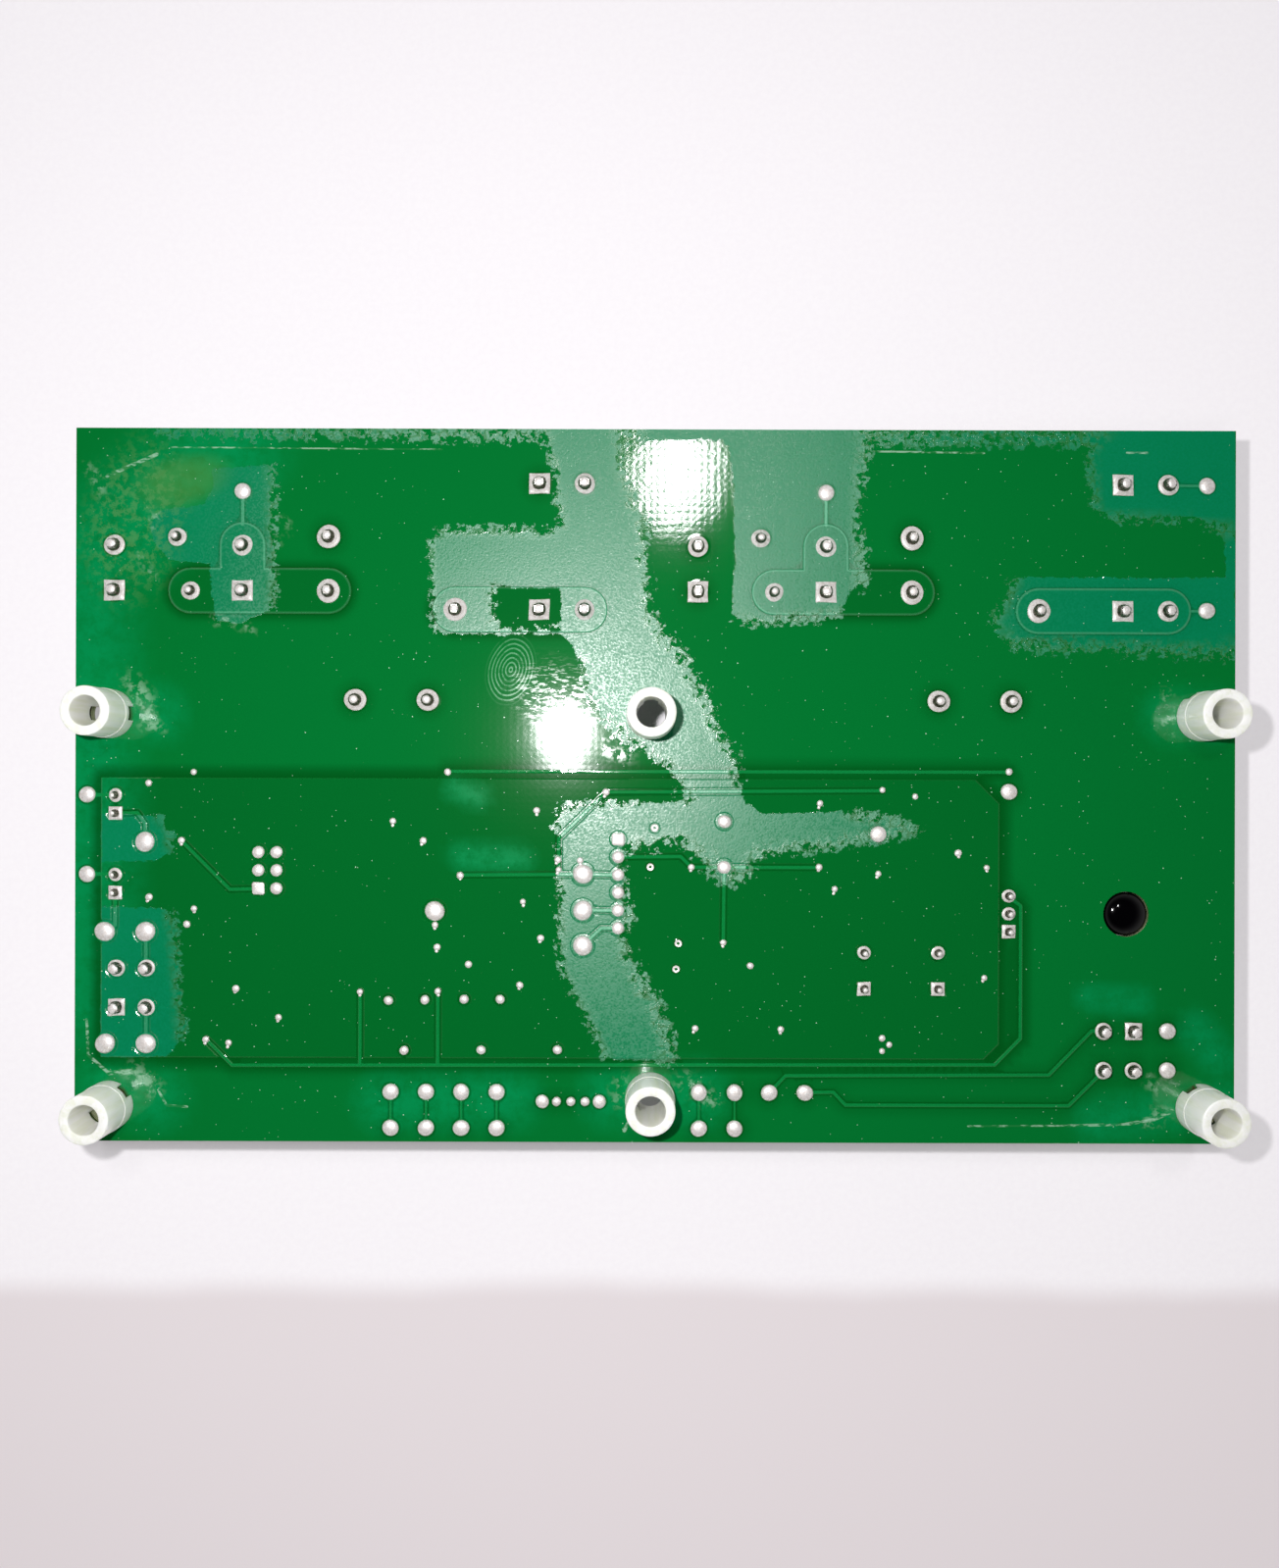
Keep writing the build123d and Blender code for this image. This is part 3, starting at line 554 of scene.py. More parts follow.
@dataclass(frozen=True)
class Moulding:
    """A moulded plastic, rubber or ceramic with a slight cloud and orange-peel."""

    name: str
    colour: Colour
    cloud: Colour
    feel: Feel
    grain: float = 0.6
    relief: float = 0.02
    glow: float = 0.0
    clear: float = 0.0
    shine: float = 0.5
    dust: Colour = (190, 190, 182)

    def build(self) -> bpy.types.Material:
        """Makes the material.

        Returns:
            The finished material.
        """
        bench = NodeBench(bpy.data.materials.new(self.name))
        clouds = bench.noise(6.0, detail=4.0)
        colour = bench.blend(bench.ramp(clouds, 0.35, 0.65), linear(*self.colour), linear(*self.cloud))
        colour = bench.coats(colour, (bench.specks(1.4, 0.05, 0.6), 0.4, self.dust))
        peel = bench.noise(self.grain, detail=4.0)
        rough = bench.ramp(clouds, 0.3, 0.7, self.feel.value * 0.85, min(1.0, self.feel.value * 1.15))
        normal = bench.bump(peel, self.relief, 0.5)
        values: dict[str, object] = {
            "Base_Color": colour, "Roughness": rough, "Normal": normal, "Specular_IOR_Level": self.shine}
        if self.glow:
            values |= {"Subsurface_Weight": self.glow, "Subsurface_Scale": 0.0012,
                       "Subsurface_Radius": (1.0, 0.9, 0.7)}
        if self.clear:
            values["Transmission_Weight"] = self.clear
        return bench.surface(**values)


@dataclass(frozen=True)
class Nylon:
    """Milky natural nylon with faint flow lines along the tube and soft inner glow."""

    name: str = "standoff_nylon"
    body: Colour = (252, 252, 246)
    grey: Colour = (240, 242, 226)
    dust: Colour = (150, 140, 125)

    def build(self) -> bpy.types.Material:
        """Makes the material.

        Returns:
            The finished material.
        """
        bench = NodeBench(bpy.data.materials.new(self.name))
        streaks = bench.noise(1.6, detail=5.0, stretch=(1.6, 1.6, 0.12))
        colour = bench.blend(bench.ramp(streaks, 0.4, 0.66), linear(*self.body), linear(*self.grey))
        colour = bench.coats(colour, (bench.specks(1.0, 0.06, 0.7), 0.25, self.dust))
        normal = bench.bump(streaks, 0.02, 0.5)
        normal = bench.bump(bench.noise(0.25, detail=3.0), 0.004, 0.6, normal)
        return bench.surface(
            Base_Color=colour, Roughness=0.3, Normal=normal, Subsurface_Weight=0.5,
            Subsurface_Scale=0.003, Subsurface_Radius=(1.0, 1.0, 0.85))


@dataclass(frozen=True)
class Paper:
    """White paper under the board, greyer below a wavy line towards the bottom, with a painted shade round
    the board where its glow for the camera stops.
    """

    name: str = "paper"
    sheet: Colour = (255, 251, 255)
    # greyer towards the bottom, below a wavy line
    lower_grey: Colour = (234, 225, 228)
    fibre: Colour = (232, 224, 232)
    fleck: Colour = (60, 60, 70)
    grey_line: float = -77.0
    grey_line_wander: float = 6.0
    lift: float = 0.5
    shade: Point = (81.3, 50.0)
    shade_reach: float = 9.0

    def build(self) -> bpy.types.Material:
        """Makes the material.

        Returns:
            The finished material.
        """
        bench = NodeBench(bpy.data.materials.new(self.name))
        split = bench.node("SeparateXYZ", {0: bench.place()})
        wander = bench.times(bench.math("SUBTRACT", bench.noise(60.0), 0.5), self.grey_line_wander * MM)
        row = bench.plus(split.outputs[1], wander)
        below = bench.ramp(row, (self.grey_line - 3.5) * MM, (self.grey_line + 2.0) * MM, 1.0, 0.0)
        fibre = bench.ramp(bench.noise(0.9, detail=5.0), 0.3, 0.7, 0.0, 0.35)
        colour = bench.coats(
            bench.blend(below, linear(*self.sheet), linear(*self.lower_grey)),
            (fibre, 0.3, self.fibre), (bench.specks(38.0, 0.012, 0.5), 1.0, self.fleck))
        diffuse = bench.node("BsdfDiffuse", {"Color": colour})
        bright = bench.node("Emission", {"Color": colour})
        path = bench.node("LightPath")
        rays = ("Is Camera Ray", "Is Glossy Ray", "Is Transmission Ray")
        seen = bench.most(*(path.outputs[ray] for ray in rays))
        # painted shade: the glow that the camera sees stops under the board and within a few millimetres of
        # it, so the paper there is darker
        beyond = [bench.math("SUBTRACT", bench.math("ABSOLUTE", split.outputs[axis]), self.shade[axis] * MM)
                  for axis in (0, 1)]
        clear_of_painted_shade = bench.ramp(bench.most(*beyond), 1 * MM, self.shade_reach * MM)
        bench.end(bench.node("MixShader", {
            0: bench.times(seen, clear_of_painted_shade, self.lift), 1: diffuse.outputs[0], 2: bright.outputs[0]}))
        return bench.owner


class Palette:
    """The finishes of every material slot, each made once."""

    def __init__(self) -> None:
        """Makes the finishes."""
        recipes = [
            SolderMask(),
            LaminateEdge(),
            Nylon(),
            Paper(),
            Metal("solder", (248, 244, 243), (214, 206, 202), 0.42, grain=0.4, relief=0.05, metallic=0.5),
            # darker metal for the upper flank and neck of each joint: painted shade in the hollow round the
            # lead, and the lead's duller tin
            Metal("shaded_flank_and_lead", (150, 142, 132), (84, 76, 68), 0.26, grain=0.4, relief=0.06),
            Metal("tinned_lead", (214, 212, 208), (176, 172, 166), 0.3, grain=0.8, relief=0.01),
            Metal("can_aluminium", (206, 206, 208), (186, 187, 190), 0.3, grain=1.2, stretch=(1.0, 1.0, 0.1)),
            Metal("crystal_steel", (200, 199, 194), (170, 168, 162), 0.27, grain=1.5),
            Moulding("relay_plastic", (26, 27, 29), (34, 35, 37), Feel.SATIN),
            Moulding("connector_nylon", (228, 224, 204), (216, 212, 190), Feel.SATIN, glow=0.2),
            Moulding("varistor_coating", (30, 74, 148), (24, 62, 132), Feel.GLOSSY, grain=2.0, relief=0.08),
            Moulding("black_moulding", (22, 22, 24), (28, 28, 30), Feel.MATT),
            Moulding("lens_black", (1, 1, 2), (3, 2, 4), Feel.POLISHED, relief=0.004, shine=0.25),
            Moulding("lamp_lens", (176, 40, 34), (160, 32, 30), Feel.GLOSSY, clear=0.35),
            Moulding("bung_rubber", (30, 30, 31), (36, 36, 37), Feel.MATT),
            Moulding("chip_body", (28, 29, 31), (36, 37, 40), Feel.SATIN, grain=0.3),
            Moulding("chip_ceramic", (168, 136, 104), (154, 122, 90), Feel.SATIN, grain=0.3),
        ]
        self.materials = {recipe.name: recipe.build() for recipe in recipes}

    def __getitem__(self, name: str) -> bpy.types.Material:
        """The finish of that name."""
        return self.materials[name]


@dataclass
class Draft:
    """Points and faces of one piece, in millimetres, before it becomes a mesh."""

    points: list[Place] = field(default_factory=list)
    faces: list[tuple[int, ...]] = field(default_factory=list)
    second: set[int] = field(default_factory=set)

    def form(self, centre: Place, rings: Sequence[Place], segments: int,
             wobble: Callable[[float, int], float] = lambda angle, ring: 1.0, along_x: bool = False,
             second_band: tuple[int, int] = (0, 0)) -> None:
        """Adds a closed turned form.

        Args:
            centre: where the form's axis and zero level are.
            rings: radius, level and squareness from the lowest ring to the top.
            segments: points round each ring.
            wobble: a factor on the radius for an angle and a ring.
            along_x: whether the axis lies along x instead of up.
            second_band: the rings between which the faces take the second finish.
        """
        start = len(self.points)
        for index, (radius, level, square) in enumerate(rings):
            for step in range(segments):
                angle = 2 * math.pi * (step + 0.5) / segments
                across, up = math.cos(angle), math.sin(angle)
                reach = radius * (1 - square + square / max(abs(across), abs(up))) * wobble(angle, index)
                away = (reach * across, reach * up, level)
                if along_x:
                    away = (level, reach * across, reach * up)
                self.points.append((centre[0] + away[0], centre[1] + away[1], centre[2] + away[2]))
        self.faces.append(tuple(start + step for step in reversed(range(segments))))
        for index in range(len(rings) - 1):
            for step in range(segments):
                after = (step + 1) % segments
                low = start + index * segments
                if second_band[0] <= index < second_band[1]:
                    self.second.add(len(self.faces))
                self.faces.append((low + step, low + after, low + segments + after, low + segments + step))
        top = start + (len(rings) - 1) * segments
        self.faces.append(tuple(top + step for step in range(segments)))

    def tube(self, centre: Point, outline: Loop, segments: int) -> None:
        """Adds a turned ring whose outline is closed, such as a tube's wall.

        Args:
            centre: where the axis is.
            outline: radius and level of the closed outline, anticlockwise.
            segments: points round the axis.
        """
        start = len(self.points)
        count = len(outline)
        for step in range(segments):
            angle = 2 * math.pi * step / segments
            for radius, level in outline:
                x, y = centre[0] + radius * math.cos(angle), centre[1] + radius * math.sin(angle)
                self.points.append((x, y, level))
        for step in range(segments):
            here = start + step * count
            there = start + ((step + 1) % segments) * count
            for index in range(count):
                after = (index + 1) % count
                self.faces.append((here + index, there + index, there + after, here + after))

    def to_object(self, name: str, material: bpy.types.Material, sharp: float = 35.0,
                  second: bpy.types.Material | None = None) -> bpy.types.Object:
        """Makes the mesh object.

        Args:
            name: the piece's name.
            material: its finish.
            sharp: the angle in degrees above which an edge stays sharp.
            second: the finish of the faces that are marked for one.

        Returns:
            The new object, linked to the scene.
        """
        mesh = bpy.data.meshes.new(name)
        mesh.from_pydata([tuple(value * MM for value in point) for point in self.points], [], self.faces)
        mesh.materials.append(material)
        if second is not None:
            mesh.materials.append(second)
            for index in self.second:
                mesh.polygons[index].material_index = 1
        mesh.update()
        mesh.shade_smooth()
        mesh.set_sharp_from_angle(angle=math.radians(sharp))
        made = bpy.data.objects.new(name, mesh)
        bpy.context.scene.collection.objects.link(made)
        return made


@dataclass(frozen=True)
class Solid:
    """One closed body of a node in the frame, in millimetres."""

    low: Place
    high: Place
    square: bool

    @property
    def centre(self) -> Point:
        """Its middle, seen from above."""
        return ((self.low[0] + self.high[0]) / 2, (self.low[1] + self.high[1]) / 2)

    @property
    def half_width(self) -> float:
        """Half its width along x."""
        return (self.high[0] - self.low[0]) / 2


def settle(piece: bpy.types.Object, slot: str, *nodes: str) -> None:
    """Fixes a piece to the part's body and hides the nodes that it stands for.

    Args:
        piece: the finished piece.
        slot: its material slot; not used.
        nodes: the nodes that it replaces, if any.
    """
    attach(piece, "root")
    if nodes:
        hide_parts(*nodes)
    LOG.info("%s: %d faces", piece.name, len(piece.data.polygons))


def solids_of(node: bpy.types.Object) -> list[Solid]:
    """Finds the separate bodies of a node.

    Args:
        node: the node's object in the frame.

    Returns:
        The bodies, sorted by place.
    """
    keys = [tuple(round(value * 1e6) for value in vertex.co) for vertex in node.data.vertices]
    parent: dict[tuple[int, ...], tuple[int, ...]] = {key: key for key in keys}

    def root(key: tuple[int, ...]) -> tuple[int, ...]:
        """Finds the point that stands for a point's whole body.

        Args:
            key: the point.

        Returns:
            The point that stands for its body.
        """
        while parent[key] != key:
            parent[key] = parent[parent[key]]
            key = parent[key]
        return key

    for polygon in node.data.polygons:
        first = root(keys[polygon.vertices[0]])
        for index in polygon.vertices[1:]:
            parent[root(keys[index])] = first
    groups: dict[tuple[int, ...], list[tuple[int, ...]]] = {}
    for key in set(keys):
        groups.setdefault(root(key), []).append(key)
    found = []
    for members in groups.values():
        points = np.array(members) / 1000.0
        low, high = points.min(axis=0), points.max(axis=0)
        corner = np.hypot(points[:, 0] - low[0], points[:, 1] - low[1]).min()
        found.append(Solid(tuple(low), tuple(high), bool(corner < 0.02)))
    return sorted(found, key=lambda solid: (round(solid.centre[0], 2), round(solid.centre[1], 2)))


def segment_distance(x: Values, y: Values, start: Point, end: Point) -> Values:
    """Distance of many points from one straight run.

    Args:
        x, y: the points.
        start, end: the run's ends.

    Returns:
        The distances.
    """
    dx, dy = end[0] - start[0], end[1] - start[1]
    span = max(dx * dx + dy * dy, 1 / FAR)
    share = np.clip(((x - start[0]) * dx + (y - start[1]) * dy) / span, 0, 1)
    return np.hypot(x - start[0] - share * dx, y - start[1] - share * dy)


def polygon_distance(x: Values, y: Values, corners: Loop) -> Values:
    """Signed distance of many points from a polygon, negative inside it.

    Args:
        x, y: the points.
        corners: the polygon's corners in order.

    Returns:
        The signed distances.
    """
    nearest = np.full(x.shape, FAR)
    inside = np.zeros(x.shape, bool)
    for start, end in zip(corners, list(corners[1:]) + [corners[0]]):
        nearest = np.minimum(nearest, segment_distance(x, y, start, end))
        crosses = (start[1] > y) != (end[1] > y)
        rise = end[1] - start[1]
        at = start[0] + (y - start[1]) * (end[0] - start[0]) / (rise if rise else 1 / FAR)
        inside ^= crosses & (x < at)
    return np.where(inside, -nearest, nearest)


def circle_loop(centre: Point, radius: float, count: int) -> list[Point]:
    """Puts points round a circle.

    Args:
        centre: its middle.
        radius: its radius.
        count: how many points.

    Returns:
        The points.
    """
    return [
        (centre[0] + radius * math.cos(2 * math.pi * step / count),
         centre[1] + radius * math.sin(2 * math.pi * step / count))
        for step in range(count)
    ]


def capsule_loop(start: Point, end: Point, radius: float, steps: int = 8) -> list[Point]:
    """Puts points round a straight run with round ends.

    Args:
        start, end: the run's ends.
        radius: half its width.
        steps: how many points each end has, less one.

    Returns:
        The points.
    """
    heading = math.atan2(end[1] - start[1], end[0] - start[0])
    loop = []
    for centre, turn in ((end, -math.pi / 2), (start, math.pi / 2)):
        for step in range(steps + 1):
            angle = heading + turn + math.pi * step / steps
            loop.append((centre[0] + radius * math.cos(angle), centre[1] + radius * math.sin(angle)))
    return loop


def offset_loop(corners: Loop, gap: float) -> list[Point]:
    """Moves each side of a convex anticlockwise polygon outwards.

    Args:
        corners: the polygon.
        gap: how far.

    Returns:
        The new corners.
    """
    moved = []
    count = len(corners)
    for index in range(count):
        before, here, after = corners[index - 1], corners[index], corners[(index + 1) % count]
        first = Vector((here[1] - before[1], before[0] - here[0])).normalized()
        second = Vector((after[1] - here[1], here[0] - after[0])).normalized()
        joint = (first + second) / (1 + first.dot(second))
        moved.append((here[0] + gap * joint.x, here[1] + gap * joint.y))
    return moved


@dataclass(frozen=True)
class Track:
    """A printed copper track: its bends, and whether it runs in its own groove of the ground plane."""

    bends: tuple[Point, ...]
    grooved: bool = True
    half_width: float = 0.2
    pooled: bool = False

    def runs(self) -> Iterable[tuple[Point, Point]]:
        """Its straight runs."""
        return zip(self.bends, self.bends[1:])


@dataclass
class Artwork:
    """The solder side's copper: ground plane, raised islands, tracks, pads and vias."""

    plane: tuple[Point, ...] = (
        (-77.6, -38.2), (46.1, -38.2), (48.2, -36.1), (48.2, -2.4), (44.9, 0.9), (-77.6, 0.9))
    slope: float = 0.17
    groove: float = 0.36
    relief: float = 0.06
    sunk: float = 0.03
    island_relief: float = 0.07
    island_reach: float = 3.15
    islands: tuple[tuple[Point, Point], ...] = (
        ((-65.15, 27.2), (-45.89, 27.2)), ((-57.95, 27.2), (-57.95, 33.6)),
        ((16.65, 27.2), (35.91, 27.2)), ((23.85, 27.2), (23.85, 33.6)),
        ((-28.11, 24.65), (-9.98, 24.65)), ((53.69, 24.65), (71.83, 24.65)))
    tracks: tuple[Track, ...] = (
        Track(((-29.2, 1.95), (49.6, 2.05)), False, pooled=True),
        Track(((-6.9, -0.9), (31.9, -0.6))),
        Track(((-6.9, -0.9), (-13.5, -7.4), (-13.5, -11.8))),
        Track(((-27.3, -12.6), (-10.1, -12.45), (-5.2, -12.55))),
        Track(((-10.1, -17.5), (-5.2, -17.5))),
        Track(((-10.1, -22.4), (-7.5, -20.0), (-5.2, -20.0))),
        Track(((-5.2, -10.0), (3.6, -9.9), (5.1, -11.4), (23.0, -11.4))),
        Track(((9.7, -11.4), (9.6, -22.0))),
        Track(((-66.4, -7.9), (-59.6, -14.7), (-55.6, -14.6))),
        Track(((-75.7, -4.1), (-72.6, -4.0), (-71.5, -5.5), (-71.5, -8.0))),
        Track(((-79.6, -1.5), (-75.7, -1.5)), False),
        Track(((-79.6, -12.6), (-75.7, -12.6)), False),
        Track(((-75.7, -15.2), (-75.7, -19.8))),
        Track(((-71.35, -20.6), (-71.35, -25.8))),
        Track(((-71.3, -31.2), (-71.3, -36.4))),
        Track(((-62.9, -35.7), (-59.2, -39.35))),
        Track(((-59.2, -39.35), (47.7, -39.0), (51.3, -35.3), (51.3, -16.7), (49.6, -15.4)), False,
              pooled=True),
        Track(((-41.3, -29.0), (-41.3, -39.3))),
        Track(((-30.4, -28.9), (-30.4, -39.3))),
        Track(((16.1, -43.0), (18.4, -40.6), (55.3, -40.4), (61.3, -34.2), (63.0, -34.25)), False),
        Track(((21.1, -42.95), (25.1, -42.9), (26.8, -44.7), (58.1, -44.7), (62.4, -40.4)), False),
        Track(((-57.95, 41.15), (-57.95, 36.5)), False),
        Track(((23.85, 41.15), (23.85, 36.6)), False),
        Track(((71.9, 42.3), (77.25, 42.25)), False, 0.13),
        Track(((74.9, 24.7), (77.25, 24.7)), False, 0.13),
        *(Track(((x, -43.0), (x, -48.0)), False, 0.11) for x in (-36.97, -32.0, -27.07, -22.1, 6.25, 11.25)),
    )
    vias: tuple[Point, ...] = (
        (-71.0, 0.2), (-64.7, 1.75), (-66.4, -7.85), (-70.9, -15.8), (-64.6, -17.4), (-65.6, -19.6),
        (-36.75, -5.05), (-32.5, -7.8), (-16.6, -3.5), (-18.5, -16.3), (-16.0, -21.4), (-30.8, -19.6),
        (-30.5, -22.7), (-26.1, -25.1), (-18.9, -28.0), (-41.3, -29.0), (-30.4, -28.9), (-58.7, -28.6),
        (-52.7, -32.6), (-62.9, -35.75), (-59.7, -36.2), (-29.1, 1.85), (-27.3, -12.65), (-13.6, -10.4),
        (-10.5, -10.5), (-13.5, -11.8), (-6.9, -0.9), (5.1, -11.4), (23.0, -11.35), (9.6, -21.95),
        (13.4, -25.2), (23.1, -2.4), (31.3, -12.25), (25.2, -14.4), (31.85, -0.5), (36.45, -1.4),
        (42.5, -9.3), (46.5, -11.35), (46.2, -26.8), (5.7, -34.0), (17.7, -34.1), (31.9, -35.3),
        (32.9, -36.2), (31.9, -37.1), (49.6, 2.1))
    open_vias: tuple[Point, ...] = ((-0.05, -5.9), (-0.65, -11.4), (3.3, -22.1), (3.0, -25.7))
    via_radius: float = 0.52
    pads: list[tuple[Point, float]] = field(default_factory=list)

    def rings(self) -> list[tuple[Point, float]]:
        """Every pad and via that has a gap of bare laminate round it in the ground plane."""
        return self.pads + [(place, self.via_radius - 0.1) for place in self.open_vias]

    def loops(self) -> list[list[Point]]:
        """Draws the foot and the crown of every step of the copper.

        Returns:
            The closed outlines.
        """
        half = self.slope / 2
        made = [offset_loop(self.plane, -half), offset_loop(self.plane, half)]
        for start, end in self.islands:
            made += [capsule_loop(start, end, self.island_reach + side * half, 16) for side in (-1, 1)]
        for track in self.tracks:
            for start, end in track.runs():
                width = track.half_width
                made += [capsule_loop(start, end, width + side * half * 0.8, 5) for side in (-1, 1)]
                if track.grooved:
                    reach = width + self.groove
                    made += [capsule_loop(start, end, reach + side * half, 6) for side in (-1, 1)]
        for place, radius in self.rings():
            made += [circle_loop(place, radius + self.groove + side * half, 22) for side in (-1, 1)]
        return made

    def distance(self, x: Values, y: Values) -> Values:
        """Measures how far points are from the edge of the copper.

        Args:
            x, y: the points.

        Returns:
            The distances, negative on copper.
        """
        rings = [(np.hypot(x - place[0], y - place[1]), radius) for place, radius in self.rings()]
        gaps = [segment_distance(x, y, start, end) - track.half_width - self.groove
                for track in self.tracks if track.grooved for start, end in track.runs()]
        gaps += [away - radius - self.groove for away, radius in rings]
        plane = np.maximum(polygon_distance(x, y, self.plane), -np.minimum.reduce(gaps))
        return np.minimum.reduce([
            plane, self.line(x, y), self.island_distance(x, y), *(away - radius for away, radius in rings)])

    def line(self, x: Values, y: Values) -> Values:
        """Measures how far points are from the edge of the tracks alone.

        Args:
            x, y: the points.

        Returns:
            The distances, negative on a track.
        """
        return np.minimum.reduce([segment_distance(x, y, start, end) - track.half_width
                                  for track in self.tracks for start, end in track.runs()])

    def island_distance(self, x: Values, y: Values) -> Values:
        """Measures how far points are from the edge of the raised islands.

        Args:
            x, y: the points.

        Returns:
            The distances, negative on an island.
        """
        return np.minimum.reduce([
            segment_distance(x, y, start, end) - self.island_reach for start, end in self.islands])

    def pool(self, x: Values, y: Values) -> Values:
        """Finds how thick the mask has pooled beside the plane and its long borders.

        Args:
            x, y: the points.

        Returns:
            The thickness at each point, from 0 to 1.
        """
        borders = [segment_distance(x, y, start, end) + 0.5
                   for track in self.tracks if track.pooled for start, end in track.runs()]
        return np.clip(1.35 - np.minimum.reduce([polygon_distance(x, y, self.plane), *borders]) / 1.5, 0, 1)

    def height(self, x: Values, y: Values) -> Values:
        """Finds the height of the mask above the bare face.

        Args:
            x, y: the points.

        Returns:
            The heights.
        """
        on_copper = np.clip(0.5 - self.distance(x, y) / self.slope, 0, 1)
        on_island = np.clip(0.5 - self.island_distance(x, y) / self.slope, 0, 1)
        island_rise = self.island_relief - self.relief + self.sunk
        return -self.sunk + on_copper * self.relief + on_island * island_rise


